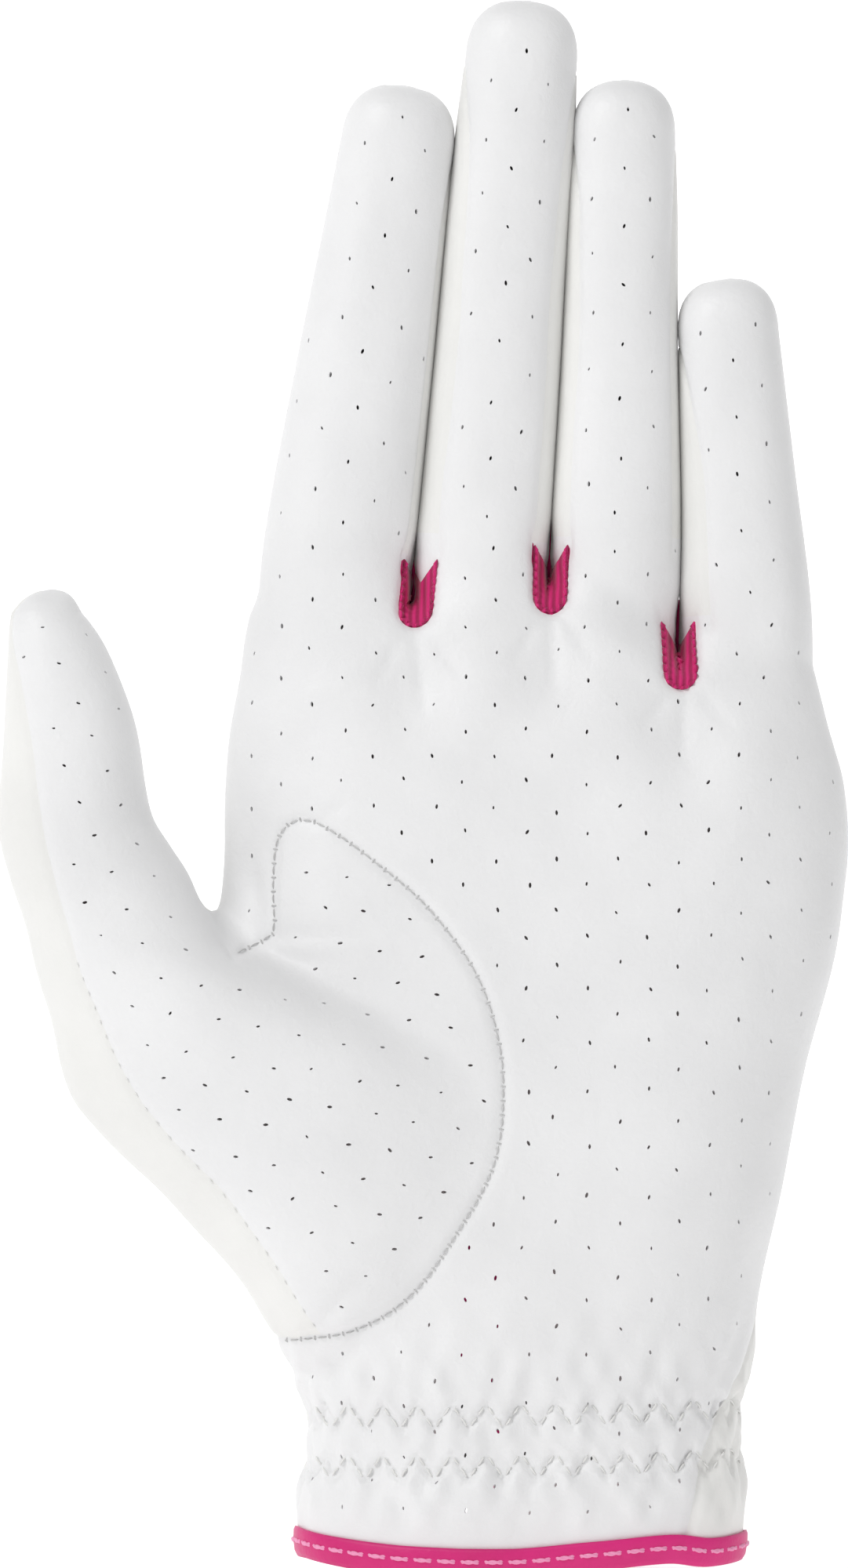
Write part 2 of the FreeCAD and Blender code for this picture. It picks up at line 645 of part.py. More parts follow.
def make_thumb_stitches():
    """Stitches on the palm, just outside the line where the thumb panel meets it."""
    palm = doc.getObject("palm_panel").Shape
    mound = doc.getObject("thumb_panel_base").Shape
    lift = 1.6 * size("thread")
    deepest_y, outermost_x = -12, -36
    ends = []
    for edge in palm.section(mound).Edges:
        points = edge.discretize(Distance=size("stitch_pitch")) if edge.Length > size("stitch_pitch") else []
        for point, following in zip(points, points[1:]):
            if point.y > deepest_y or point.x < outermost_x:
                continue
            along = (following - point).normalize()
            outward = Vector(0, -lift, 0)
            ends.append((point + outward, point + along * size("stitch") + outward))
    make_stitches("thumb_seam_stitching", ends)


def make_tab_stitches():
    """A line of stitches through the strip that holds the tab to the back."""
    x = size("tab_x") + size("tab_step") / 2
    y = size("back_y") + size("gap") + size("tab_leather") + 0.6 * size("thread")
    count = int((size("tab_height") - size("stitch")) / size("stitch_pitch"))
    ends = []
    for number in range(count):
        z = size("tab_z") + size("stitch") + number * size("stitch_pitch")
        ends.append((Vector(x, y, z), Vector(x, y, z + size("stitch"))))
    make_stitches("tab_stitching", ends)


def check_document():
    doc.recompute()
    for item in doc.Objects:
        if "Invalid" in item.State or "Error" in item.State:
            raise RuntimeError(f"{item.Label} failed: {item.State}")
    for part in parts:
        if part.Shape.isNull() or not part.Shape.isValid() or not part.Shape.Solids:
            raise RuntimeError(f"{part.Label} has no valid solid")


def write_steps():
    os.makedirs("parts", exist_ok=True)
    for part in parts:
        part.Shape.exportStep(f"parts/{part.Label}.step")
        print(f"{part.Label}: {part.Shape.Volume:.0f} mm3, {len(part.Shape.Solids)} solids")


make_hand_panels()
make_thumb_mound()
make_gussets()
make_fingers()
make_thumb()
make_cuff_binding()
make_slit_binding()
make_elastic_tapes()
make_closure_tab()
make_patches()
make_binding_stitches()
make_zigzag_stitches()
make_thumb_stitches()
make_tab_stitches()
check_document()
write_steps()
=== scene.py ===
"""Visual model of a left-hand golf glove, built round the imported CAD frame.

The whole skin of the glove is one smooth surface, meshed from a field.  Seams cut it into panels,
each panel becomes a thin closed shell of leather or knit, and real holes perforate it.  All
modelling is in millimetres, with X across the hand, -Y out of the palm and Z up to the
fingertips; pieces are written in metres.
"""
import json
import math

import bpy
import numpy as np
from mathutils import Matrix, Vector
from mathutils.bvhtree import BVHTree
from mathutils.kdtree import KDTree


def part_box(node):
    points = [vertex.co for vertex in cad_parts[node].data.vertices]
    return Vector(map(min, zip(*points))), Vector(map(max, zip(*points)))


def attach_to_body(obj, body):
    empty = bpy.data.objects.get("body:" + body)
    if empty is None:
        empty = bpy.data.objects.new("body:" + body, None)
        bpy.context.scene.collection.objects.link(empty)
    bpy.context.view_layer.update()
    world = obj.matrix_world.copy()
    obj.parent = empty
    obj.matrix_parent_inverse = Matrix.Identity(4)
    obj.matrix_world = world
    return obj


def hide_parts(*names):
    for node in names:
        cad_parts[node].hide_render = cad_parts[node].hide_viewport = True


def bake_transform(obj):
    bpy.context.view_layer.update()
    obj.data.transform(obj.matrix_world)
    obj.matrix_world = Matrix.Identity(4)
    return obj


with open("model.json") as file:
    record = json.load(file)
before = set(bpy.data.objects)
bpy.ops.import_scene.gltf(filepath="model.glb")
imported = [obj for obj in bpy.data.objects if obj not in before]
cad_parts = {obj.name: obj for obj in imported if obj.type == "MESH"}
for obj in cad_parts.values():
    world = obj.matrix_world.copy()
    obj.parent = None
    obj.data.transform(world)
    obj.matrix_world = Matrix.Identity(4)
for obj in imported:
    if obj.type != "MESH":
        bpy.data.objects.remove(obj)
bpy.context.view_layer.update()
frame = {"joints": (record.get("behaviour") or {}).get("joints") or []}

MM = 0.001
CELL = 0.7                     # spacing of the skin's grid, mm
LEATHER = 0.65                 # leather thickness, mm
FINGERS = ("index", "middle", "ring", "little")
DIGITS = FINGERS + ("thumb",)
HINGE_CLEARANCE = 0.3          # a hinge stands this far outside its finger, mm
rng = np.random.default_rng(11)


# ---------------------------------------------------------------- sizes from the frame

def node_box(node):
    low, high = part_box(node)
    return np.array(low) / MM, np.array(high) / MM


def joint_named(name):
    return next(joint for joint in frame["joints"] if joint["name"] == name)


def digit_frame(digit):
    """Root centre, directions, lengths and radii of a finger or thumb, from its two hinges."""
    base, middle = joint_named(f"{digit}_base"), joint_named(f"{digit}_middle")
    axis = np.array(base["axis"], float)
    pivot, knuckle_pivot = (np.array(joint["pos_m"], float) / MM for joint in (base, middle))
    lean = np.array([axis[0], 0, axis[2]])
    across = lean / np.linalg.norm(lean)
    up = np.array([-across[2], 0, across[0]])
    front = np.cross(axis, up)
    top = node_box(f"{digit}_front_upper")[1][2]
    front_y = node_box(f"{digit}_front_lower")[0][1]
    back_y = node_box(f"{digit}_back_lower")[1][1]
    root_radius = (back_y - front_y) / 2
    root = pivot - front * (root_radius + HINGE_CLEARANCE)
    root[1] = (front_y + back_y) / 2
    lower = float((knuckle_pivot - pivot) @ up)
    knuckle_radius = float((knuckle_pivot - root - up * lower) @ front) - HINGE_CLEARANCE
    return {"root": root, "up": up, "across": across, "lower": lower,
            "length": float((top - root[2]) / up[2]),
            "root_radius": root_radius, "knuckle_radius": knuckle_radius}


digits = {digit: digit_frame(digit) for digit in DIGITS}
gusset_boxes = [node_box(f"gusset_{number}") for number in (1, 2, 3)]


# ---------------------------------------------------------------- curves

def curve(at, keys):
    """Smooth curve through a few (position, value) keys, without overshoot."""
    xs, ys = np.array(keys, float).T
    steps = np.diff(xs)
    slopes = np.diff(ys) / steps
    tangents = np.zeros_like(xs)
    same = slopes[:-1] * slopes[1:] > 0
    before, after = steps[:-1], steps[1:]
    harmonic = (2 * after + before) / np.where(same, slopes[:-1], 1)
    harmonic += (after + 2 * before) / np.where(same, slopes[1:], 1)
    tangents[1:-1] = np.where(same, 3 * (before + after) / np.where(same, harmonic, 1), 0)
    tangents[0], tangents[-1] = slopes[0], slopes[-1]
    at = np.clip(at, xs[0], xs[-1])
    cell = np.clip(np.searchsorted(xs, at) - 1, 0, len(xs) - 2)
    step = steps[cell]
    share = (at - xs[cell]) / step
    return (ys[cell] * (1 + 2 * share) * (1 - share) ** 2 + ys[cell + 1] * share ** 2 * (3 - 2 * share)
            + step * tangents[cell] * share * (1 - share) ** 2
            - step * tangents[cell + 1] * share ** 2 * (1 - share))


def smoothstep(value, low, high):
    share = np.clip((value - low) / (high - low), 0, 1)
    return share * share * (3 - 2 * share)


def bell(value, width):
    return np.exp(-(value / width) ** 2)


def smooth_union(first, second, reach):
    """Union of two fields, with a fillet about as wide as reach."""
    share = np.clip(0.5 + 0.5 * (second - first) / reach, 0, 1)
    return second * (1 - share) + first * share - reach * share * (1 - share)


# ---------------------------------------------------------------- shape of the filled glove

# Keys are (height, position).  The hand without its thumb: thumb side, outer side, palm, back.
HAND_LEFT = ((-2, -30.6), (9, -31.2), (20, -29.8), (27, -31.0), (35, -34.4), (55, -36.5), (75, -39.5),
             (90, -41.8), (103, -41.4), (114, -41.0), (128, -38.5), (146, -35.7))
HAND_RIGHT = ((-2, 30.2), (9, 31.5), (20, 31.0), (31, 32.8), (41, 33.8), (53, 36.4), (66, 39.0),
              (79, 42.3), (92, 45.1), (101, 46.0), (110, 45.2), (119, 43.3), (132, 41.3), (146, 39.5))
HAND_FRONT = ((-2, -19.6), (9, -19.8), (20, -18.2), (36, -17.6), (56, -17.4), (78, -16.6),
              (100, -14.8), (118, -12.0), (130, -9.0), (138, -6.4), (146, -4.4))
HAND_BACK = ((-2, 18.8), (20, 18.6), (36, 18.8), (56, 17.6), (78, 15.4), (100, 14.0), (118, 12.8),
             (130, 11.2), (138, 9.4), (146, 7.4))
HAND_TOP = ((-45, 130), (-30, 139), (-19, 137), (-14.7, 134.4), (-10, 137), (0, 140), (4.5, 137),
            (9, 138), (17, 132), (22.9, 127), (30, 129), (45, 122))
HAND = (HAND_LEFT, HAND_RIGHT, HAND_FRONT, HAND_BACK)
HAND_POWER = 2.6               # how square the section is, where 2 is an ellipse
HAND_CROWN_ROUNDING = 7.0
# The thumb and its mound.
THUMB_LEFT = ((28, -30), (35, -34.9), (44, -41.8), (52.8, -50.1), (61.6, -58.9), (66, -62.2),
              (70.4, -63.9), (79, -66.0), (88, -68.4), (96.8, -71.0), (105.6, -72.8), (114, -72.2),
              (123, -71.5), (132, -71.0), (135, -70.3), (136.7, -69.0), (137.3, -67.0))
THUMB_RIGHT = ((28, -26), (36, -17), (44, -9), (53, -5), (62, -4), (70, -8), (77, -18), (83, -30),
               (88, -39.8), (92.4, -43.0), (96.8, -45.6), (101.2, -48.6), (105.6, -51.0), (110, -52.0),
               (118.8, -53.6), (127.6, -57.0), (132, -59.4), (135.2, -62.2), (136.8, -64.6), (137.3, -66.6))
THUMB_FRONT = ((28, -8), (36, -17.0), (44, -19.0), (56, -20.6), (70, -21.6), (84, -22.6), (93, -21.8),
               (103, -20.2), (112, -19.6), (122, -18.6), (131, -16.6), (135.4, -14.0), (137.3, -10.4))
THUMB_BACK = ((28, -4), (36, 4), (50, 10), (66, 11), (80, 9), (90, 6.2), (100, 2.8), (110, 1.2),
              (120, -0.6), (129, -2.8), (134, -5), (137.3, -10))
THUMB = (THUMB_LEFT, THUMB_RIGHT, THUMB_FRONT, THUMB_BACK)
THUMB_POWER = 2.25
THUMB_FOOT, THUMB_TOP = 28, 137.3
# Relief of the palm: (x, z, reach across, reach up, height).
PALM_RELIEF = ((-37.5, 98, 6, 11, -3.4), (4, 88, 20, 24, -1.8), (27, 60, 13, 24, 1.6),
               (-14.8, 124, 5, 7, -1.0), (4.4, 126, 5, 7, -0.8), (23, 116, 5, 7, -1.0), (-25, 125, 8, 9, 0.8),
               (-5, 126, 6, 9, 0.7), (13.5, 122, 6, 9, 0.7), (32, 112, 7, 10, 0.7))
FINGER_POWER = 2.3
FINGER_FLATNESS = 0.92         # depth of a finger over its width
FINGER_FOOT = 26               # how far a finger's tube reaches down into the hand
FINGER_DOME = 1.1              # length of a fingertip's dome over the tip's radius
DOME_POWER = 2.5
TIP_RADIUS = {"index": 8.0, "middle": 7.9, "ring": 7.3, "little": 7.1}
SPREAD = 6.0                   # how far neighbouring fingers are spread while they are meshed, mm
FINGER_GAP = -0.2              # room left between the nominal sides of neighbouring fingers, mm
SLOT_WIDTH = 1.0               # extra room on the palm side, in the gussets
SPREAD_RISE = 12.0             # height over which the spread grows, mm
SLOT_BOTTOM = [box[0][2] + 1.9 for box in gusset_boxes]
MOST_SWELL = 1.2               # a finger's side moves out by no more than this, mm
FINGER_FILLET, ROOT_FILLET, THUMB_FILLET = 1.2, 4.0, 5.0
SKIN_LOW, SKIN_HIGH = (-75, -25, -2.4), (62, 23, 222)


def stack_field(x, y, z, profiles, power):
    """Distance-like field of a body given by its four profiles against height."""
    low, high, near, far = (curve(z, keys) for keys in profiles)
    half_width, half_depth = np.maximum((high - low) / 2, 0.05), np.maximum((far - near) / 2, 0.05)
    across = np.abs(x - (low + high) / 2) / half_width + 1e-6
    deep = np.abs(y - (near + far) / 2) / half_depth + 1e-6
    ring = (across ** power + deep ** power) ** (1 / power)
    slope_x = (across / ring) ** (power - 1) / half_width
    slope_y = (deep / ring) ** (power - 1) / half_depth
    return (ring - 1) / np.sqrt(slope_x ** 2 + slope_y ** 2)


def finger_radius(finger, along):
    """Half width of a finger against distance along it, from below its root to its tip."""
    size = digits[finger]
    tip, length = TIP_RADIUS[finger], size["length"]
    dome = length - FINGER_DOME * tip
    radius = curve(along, ((-FINGER_FOOT, size["root_radius"] - 4), (-12, size["root_radius"] - 0.6),
                           (0, size["root_radius"] + 0.15), (size["lower"], size["knuckle_radius"] + 0.25),
                           (dome - 12, tip + 0.55), (dome, tip)))
    closing = np.clip((along - dome) / (length - dome), 0, 1)
    return radius * (1 - closing ** DOME_POWER) ** (1 / DOME_POWER)


def finger_field(finger, x, y, z):
    size = digits[finger]
    dx, dy, dz = x - size["root"][0], y - size["root"][1], z - size["root"][2]
    along = dx * size["up"][0] + dz * size["up"][2]
    across = dx * size["across"][0] + dz * size["across"][2]
    radius = np.maximum(finger_radius(finger, along), 0.05)
    deep = np.abs(dy) / (FINGER_FLATNESS * radius)
    ring = ((np.abs(across) / radius) ** FINGER_POWER + deep ** FINGER_POWER) ** (1 / FINGER_POWER)
    return (ring - 1) * radius * 0.96


def spread_of(finger, z):
    """How far a finger is moved across, at a height, to part it from its neighbours."""
    first, second, third = (np.clip((z - bottom) / SPREAD_RISE, 0, 1) * SPREAD for bottom in SLOT_BOTTOM)
    return {"index": -first, "middle": 0 * z, "ring": second, "little": second + third}[finger]


def palm_relief(x, z):
    height = 0
    for middle_x, middle_z, reach_x, reach_z, rise in PALM_RELIEF:
        height = height + rise * bell(x - middle_x, reach_x) * bell(z - middle_z, reach_z)
    return height


def glove_field(x, y, z):
    """Field of the whole glove with its fingers spread apart: negative inside."""
    hand = stack_field(x, y, z, HAND, HAND_POWER)
    hand = hand - palm_relief(x, z) * smoothstep(-y, 0, 8)
    hand = -smooth_union(-hand, curve(x, HAND_TOP) - z, HAND_CROWN_ROUNDING)
    thumb = stack_field(x, y, z, THUMB, THUMB_POWER)
    thumb = np.maximum(thumb, np.maximum(z - THUMB_TOP, THUMB_FOOT - z))
    fingers = None
    for finger in FINGERS:
        tube = finger_field(finger, x - spread_of(finger, z), y, z)
        tube = np.maximum(tube, digits[finger]["root"][2] - FINGER_FOOT - z)
        fingers = tube if fingers is None else smooth_union(fingers, tube, FINGER_FILLET)
    return smooth_union(smooth_union(hand, fingers, ROOT_FILLET), thumb, THUMB_FILLET)


def surface_nets(field, low, high, cell):
    """Quad mesh of the field's zero surface, one vertex in each cell that it crosses."""
    xs, ys, zs = (np.arange(a, b + cell, cell) for a, b in zip(low, high))
    values = field(xs[:, None, None], ys[None, :, None], zs[None, None, :]).astype(np.float32)
    inside = values < 0
    corner = [(i, j, k) for i in (0, 1) for j in (0, 1) for k in (0, 1)]
    shape = tuple(n - 1 for n in values.shape)

    def shifted(array, offset):
        i, j, k = offset
        return array[i:i + shape[0], j:j + shape[1], k:k + shape[2]]

    count = sum(shifted(inside, offset).astype(np.int8) for offset in corner)
    active = (count > 0) & (count < 8)
    cells = np.argwhere(active)
    total = np.zeros((len(cells), 3))
    crossings = np.zeros(len(cells))
    for start in corner:
        for axis in range(3):
            if start[axis]:
                continue
            end = tuple(1 if a == axis else s for a, s in enumerate(start))
            first = values[tuple((cells + start).T)]
            second = values[tuple((cells + end).T)]
            crosses = (first < 0) != (second < 0)
            share = np.where(crosses, first / np.where(crosses, first - second, 1), 0)
            point = cells + np.array(start, float)
            point[:, axis] += share
            total += point * crosses[:, None]
            crossings += crosses
    vertices = total / crossings[:, None] * cell + np.array(low, float)
    index = np.full(shape, -1, np.int64)
    index[active] = np.arange(len(cells))
    quads = []
    for axis in range(3):
        first_side, second_side = [a for a in range(3) if a != axis]
        start = inside[tuple(slice(1, -1) if a != axis else slice(0, -1) for a in range(3))]
        end = inside[tuple(slice(1, -1) if a != axis else slice(1, None) for a in range(3))]
        where = np.argwhere(start != end)
        base = where + np.array([1 if a != axis else 0 for a in range(3)])
        corners = []
        for step_first, step_second in ((-1, -1), (0, -1), (0, 0), (-1, 0)):
            at = base.copy()
            at[:, first_side] += step_first
            at[:, second_side] += step_second
            corners.append(index[tuple(at.T)])
        faces = np.stack(corners, axis=1)
        outward = start[tuple(where.T)] == (axis != 1)
        faces[~outward] = faces[~outward][:, ::-1]
        quads.append(faces)
    return vertices, np.concatenate(quads)


def field_gradient(points, step=0.05):
    """Value and gradient of the glove's field at points."""
    gradient = np.empty_like(points)
    for axis in range(3):
        offset = np.zeros(3)
        offset[axis] = step
        rise = glove_field(*(points + offset).T) - glove_field(*(points - offset).T)
        gradient[:, axis] = rise / (2 * step)
    return glove_field(*points.T), gradient


def onto_surface(points, rounds=3):
    """Move points along the gradient to the zero surface, leaving out any that run off."""
    start = points
    for _ in range(rounds):
        value, gradient = field_gradient(points)
        length = np.maximum((gradient ** 2).sum(1), 0.05)
        points = points - np.clip(value / length, -1, 1)[:, None] * gradient
    strayed = np.linalg.norm(points - start, axis=1) > 0.45 * CELL
    return np.where(strayed[:, None], start, points)


def relaxed(points, edges, rounds):
    """Even out the mesh: move each vertex half way to the mean of its neighbours."""
    for _ in range(rounds):
        total = np.zeros_like(points)
        count = np.zeros(len(points))
        for a, b in ((0, 1), (1, 0)):
            np.add.at(total, edges[:, a], points[edges[:, b]])
            np.add.at(count, edges[:, a], 1)
        points = points + 0.5 * (total / np.maximum(count, 1)[:, None] - points)
    return points


def finger_middle(finger, z):
    """A finger's middle across the hand, at a height."""
    size = digits[finger]
    return size["root"][0] + size["up"][0] / size["up"][2] * (z - size["root"][2])


def gathered(points):
    """Bring the spread fingers back together, and say which finger's column owns each point."""
    x, y, z = points.T
    owner = np.zeros(len(x), int)
    for first, second in zip(FINGERS, FINGERS[1:]):
        sides = []
        for finger, side in ((first, 1), (second, -1)):
            along = np.minimum(z - digits[finger]["root"][2], 40)
            middle = finger_middle(finger, z) + side * finger_radius(finger, along)
            sides.append(middle + spread_of(finger, z))
        owner += x > (sides[0] + sides[1]) / 2
    x = x - np.choose(owner, [spread_of(finger, z) for finger in FINGERS])
    return np.stack([x + closing_shift(x, y, z, owner), y, z], axis=1), owner


def closing_shift(x, y, z, owner):
    """Swell the facing sides of neighbouring fingers until they touch, with a slot in the gussets."""
    shift = np.zeros_like(x)
    for number, pair in enumerate(zip(FINGERS, FINGERS[1:])):
        middles = [finger_middle(finger, z) for finger in pair]
        radii = [finger_radius(finger, z - digits[finger]["root"][2]) for finger in pair]
        room = (middles[1] - radii[1]) - (middles[0] + radii[0])
        rise = z - SLOT_BOTTOM[number]
        tips = min(digits[finger]["root"][2] + digits[finger]["length"] for finger in pair)
        slot = SLOT_WIDTH * smoothstep(y, 4.5, 1.5) * smoothstep(rise, 13, 7)
        push = np.clip((room - FINGER_GAP - slot) / 2, 0, MOST_SWELL)
        push = push * smoothstep(rise, 1.0, 5.0) * smoothstep(z, tips - 7, tips - 20)
        for which, side in ((0, 1), (1, -1)):
            outness = side * (x - middles[which]) / np.maximum(radii[which], 1)
            shift += np.where(owner == number + which, side * push * smoothstep(outness, 0.2, 0.95), 0)
    return shift


def make_skin():
    """Triangles of the whole skin, in place, and the finger column that owns each vertex."""
    vertices, quads = surface_nets(glove_field, SKIN_LOW, SKIN_HIGH, CELL)
    pairs = np.concatenate([quads[:, [0, 1]], quads[:, [1, 2]], quads[:, [2, 3]], quads[:, [3, 0]]])
    edges = np.unique(np.sort(pairs, axis=1), axis=0)
    vertices = onto_surface(relaxed(vertices, edges, 2))
    vertices, owner = gathered(vertices)
    corners = vertices[quads]
    first = np.linalg.norm(corners[:, 0] - corners[:, 2], axis=1)
    second = np.linalg.norm(corners[:, 1] - corners[:, 3], axis=1)
    swap = (first > second)[:, None]
    halves = [np.where(swap, quads[:, [0, 1, 3]], quads[:, [0, 1, 2]]),
              np.where(swap, quads[:, [1, 2, 3]], quads[:, [0, 2, 3]])]
    return vertices, np.concatenate(halves), owner


# ---------------------------------------------------------------- seams, as fields that are zero on them

# Corners of the thumb panel's outline, across and up, on the palm and on the back.
PALM_SEAM = ((-39.6, 86.4), (-36.6, 87.8), (-34.3, 89.4), (-34.4, 95), (-34.1, 101), (-32.6, 104.2),
             (-29.6, 105), (-25.5, 103), (-20, 99), (-13.4, 93.4), (-6.8, 84.8), (-3.4, 76),
             (-2.4, 67), (-3.8, 57), (-9, 47.4), (-15.2, 39), (-23, 34.2), (-32.4, 32.6))
BACK_SEAM = ((-39.6, 86.4), (-35, 82), (-31.5, 70), (-29.5, 52), (-32.4, 32.6))
ROUND_THE_THUMB = ((-46, 33), (-92, 60), (-92, 150), (-54, 150), (-48, 106), (-43.5, 93))
THUMB_BACK_INSET = ((28, 6), (38, 6.4), (46, 7.7), (55, 9.5), (64, 9.8), (75, 7.7), (87, 6.3), (103, 6.6),
                    (112, 5), (124, 2.2), (131, 0.4), (137.3, 0.1))
OUTER_SEAM_INSET = ((0, 8.4), (6, 8.1), (16, 5.7), (23, 3.1), (29, 1.4), (35, 0.3), (40, 0), (146, 0))
HEM_RISE = ((-31, 2.2), (-27, 1.5), (-15, 0.3), (-3, 0), (11, 1.1), (21, 1.9), (26, 1.1), (31, 1.6))
BACK_HEM_RISE = 0.9
HEM_EDGE = 0.7                 # the leather ends this far above the binding's lower edge
SLIT_X, SLIT_TOP = -6, 44
SLIT_HALF_WIDTH = ((0, 3.5), (SLIT_TOP, 0.8))
# Where a finger's seams run, as shares of its half width, against height above its root:
# the fourchette shows as the strip beyond that share.
FRONT_SEAM = {("index", 1): ((-6, 0.9), (45, 0.93), (56, 1)),
              ("middle", -1): ((-6, 0.70), (30, 0.66), (50, 0.72), (66, 1)),
              ("middle", 1): ((-6, 0.78), (30, 0.78), (50, 0.82), (66, 1)),
              ("ring", -1): ((-6, 0.76), (25, 0.73), (45, 0.8), (56, 1)),
              ("ring", 1): ((-6, 0.86), (40, 0.9), (55, 1)),
              ("little", -1): ((-6, 0.62), (12, 0.60), (26, 0.72), (38, 1))}
SNAP = 0.05                    # a vertex nearer to a seam than this is taken to lie on it, mm
FAR = 20.0                     # value of a seam's field where it isn't worked out
GUSSET_HALF = 2.25             # half width of a gusset, and the radius of its foot, mm
GUSSET_LEANS = (6, 1.5, -2.5)  # degrees
GUSSET_POINT = 9.3             # height of a gusset's two points
GUSSET_PIVOT = 2.2             # each gusset leans about a point this far above its bottom, mm


def smooth_line(points, per_span=6):
    """Curve through points, sampled evenly in each span."""
    points = np.array(points, float)
    padded = np.concatenate([2 * points[:1] - points[1:2], points, 2 * points[-1:] - points[-2:-1]])
    line = []
    for a, b, c, d in zip(padded, padded[1:], padded[2:], padded[3:]):
        for step in range(per_span):
            t = step / per_span
            line.append(0.5 * (2 * b + (c - a) * t + (2 * a - 5 * b + 4 * c - d) * t ** 2
                               + (3 * b - a - 3 * c + d) * t ** 3))
    line.append(points[-1])
    return np.array(line)


def loop_distance(x, z, loop):
    """Distance to a closed outline, negative inside it."""
    best = np.full(len(x), np.inf)
    inside = np.zeros(len(x), bool)
    for (ax, az), (bx, bz) in zip(loop, np.roll(loop, -1, axis=0)):
        run, rise = bx - ax, bz - az
        share = np.clip(((x - ax) * run + (z - az) * rise) / (run * run + rise * rise + 1e-12), 0, 1)
        best = np.minimum(best, (x - ax - share * run) ** 2 + (z - az - share * rise) ** 2)
        spans = (az > z) != (bz > z)
        inside ^= spans & (x < ax + (z - az) / (rise if rise else 1e-9) * run)
    return np.where(inside, -1, 1) * np.sqrt(best)


palm_seam_line = smooth_line(PALM_SEAM)
palm_seam_loop = np.concatenate([palm_seam_line, ROUND_THE_THUMB])
back_seam_loop = np.concatenate([smooth_line(BACK_SEAM), ROUND_THE_THUMB])


def thumb_region(points, owner):
    """Negative on the thumb's own panels."""
    x, y, z = points.T
    near = (x < 4) & (z > 25) & (z < 140)
    value = np.full(len(points), FAR)
    palm = loop_distance(x[near], z[near], palm_seam_loop)
    back = loop_distance(x[near], z[near], back_seam_loop)
    share = smoothstep(y[near], -7, 3)
    value[near] = palm * (1 - share) + back * share
    return value


def side_line(u, v, left, right, scale):
    """Positive on the palm side of the straight line from left to right, in a section's own scale."""
    (left_u, left_v), (right_u, right_v) = left, right
    value = (u - left_u) * (right_v - left_v) - (v - left_v) * (right_u - left_u)
    return value / np.hypot(right_u - left_u, right_v - left_v) * scale


def section(points, profiles):
    """Place of points in a body's section, across and in depth, each from -1 to 1, and its width."""
    x, y, z = points.T
    low, high, near, far = (curve(z, keys) for keys in profiles)
    across = (x - (low + high) / 2) / ((high - low) / 2)
    deep = (y - (near + far) / 2) / ((far - near) / 2)
    return across, deep, high - low


def on_section(u, power):
    """Depth of the section's palm side at u."""
    return -(1 - np.minimum(np.abs(u), 1) ** power) ** (1 / power)


def thumb_front(points, owner):
    """Positive on the thumb's palm-side panel."""
    u, v, width = section(points, THUMB)
    left = 2 * np.minimum(curve(points[:, 2], THUMB_BACK_INSET) / np.maximum(width, 1), 0.5) - 1
    return side_line(u, v, (left, on_section(left, THUMB_POWER)), (1, 0.1), width / 2)


def hand_front(points, owner):
    """Positive on the palm, negative on the back."""
    u, v, width = section(points, HAND)
    right = 1 - 2 * curve(points[:, 2], OUTER_SEAM_INSET) / width
    return side_line(u, v, (-1, 0), (right, on_section(right, HAND_POWER)), width / 3)


def thumb_column(points):
    """Positive where the thumb stands apart from the hand."""
    return -44.4 - 0.25 * (points[:, 2] - 100) - points[:, 0]


def above_root(points, owner, share=0.0):
    """Height above a finger's root, or above a share of its lower part."""
    roots, ups = (np.array([digits[finger][key] for finger in FINGERS]) for key in ("root", "up"))
    lengths = np.array([digits[finger]["lower"] for finger in FINGERS])
    return ((points - roots[owner]) * ups[owner]).sum(1) - share * lengths[owner]


def thumb_above(points, distance):
    """Height above a level of the thumb, where it stands apart from the hand."""
    size = digits["thumb"]
    return np.minimum((points - size["root"]) @ size["up"] - distance, thumb_column(points))


def gusset_axis(number):
    """Middle, bottom and sideways slope of a gusset."""
    low, high = gusset_boxes[number]
    return (low[0] + high[0]) / 2, low[2], math.sin(math.radians(GUSSET_LEANS[number]))


def gusset(number):
    """Negative in a gusset: a U with two points up, seen from the front."""
    middle, bottom, slope = gusset_axis(number)

    def value(points, owner):
        up = points[:, 2] - bottom
        across = points[:, 0] - middle - slope * (up - GUSSET_PIVOT)
        foot = np.hypot(across, np.minimum(up - GUSSET_HALF, 0)) - GUSSET_HALF
        crown = (up - (6.2 + 1.6 * np.abs(across))) * 0.5
        return np.maximum(foot, crown)
    return value


def finger_section(points, owner):
    """Place of points in their finger's section, its half width, and their distance above its root."""
    u, v, along_all = np.zeros((3, len(points)))
    scale = np.ones(len(points))
    for number, finger in enumerate(FINGERS):
        mine = owner == number
        size = digits[finger]
        offset = points[mine] - size["root"]
        along = offset @ size["up"]
        radius = np.maximum(finger_radius(finger, np.minimum(along, size["length"] - 0.4)), 0.5)
        u[mine] = offset @ size["across"] / radius
        v[mine] = offset[:, 1] / (FINGER_FLATNESS * radius)
        scale[mine] = radius
        along_all[mine] = along
    return u, v, scale, along_all


def seam_shares(along, owner, side):
    """Where the seams of each point's finger run on one side, as shares of its half width."""
    share = np.ones(len(along))
    for number, finger in enumerate(FINGERS):
        if (finger, side) in FRONT_SEAM:
            mine = owner == number
            share[mine] = curve(along[mine], FRONT_SEAM[finger, side])
    return share


def finger_wall(points, owner, face):
    """Positive on a finger's palm-side wall, for face 1, or on its back wall, for face -1."""
    u, v, scale, along = finger_section(points, owner)
    ends = [side * seam_shares(along, owner, side) for side in (-1, 1)]
    left, right = ((end, face * on_section(end, FINGER_POWER)) for end in ends)
    return face * side_line(u, v, left, right, scale)


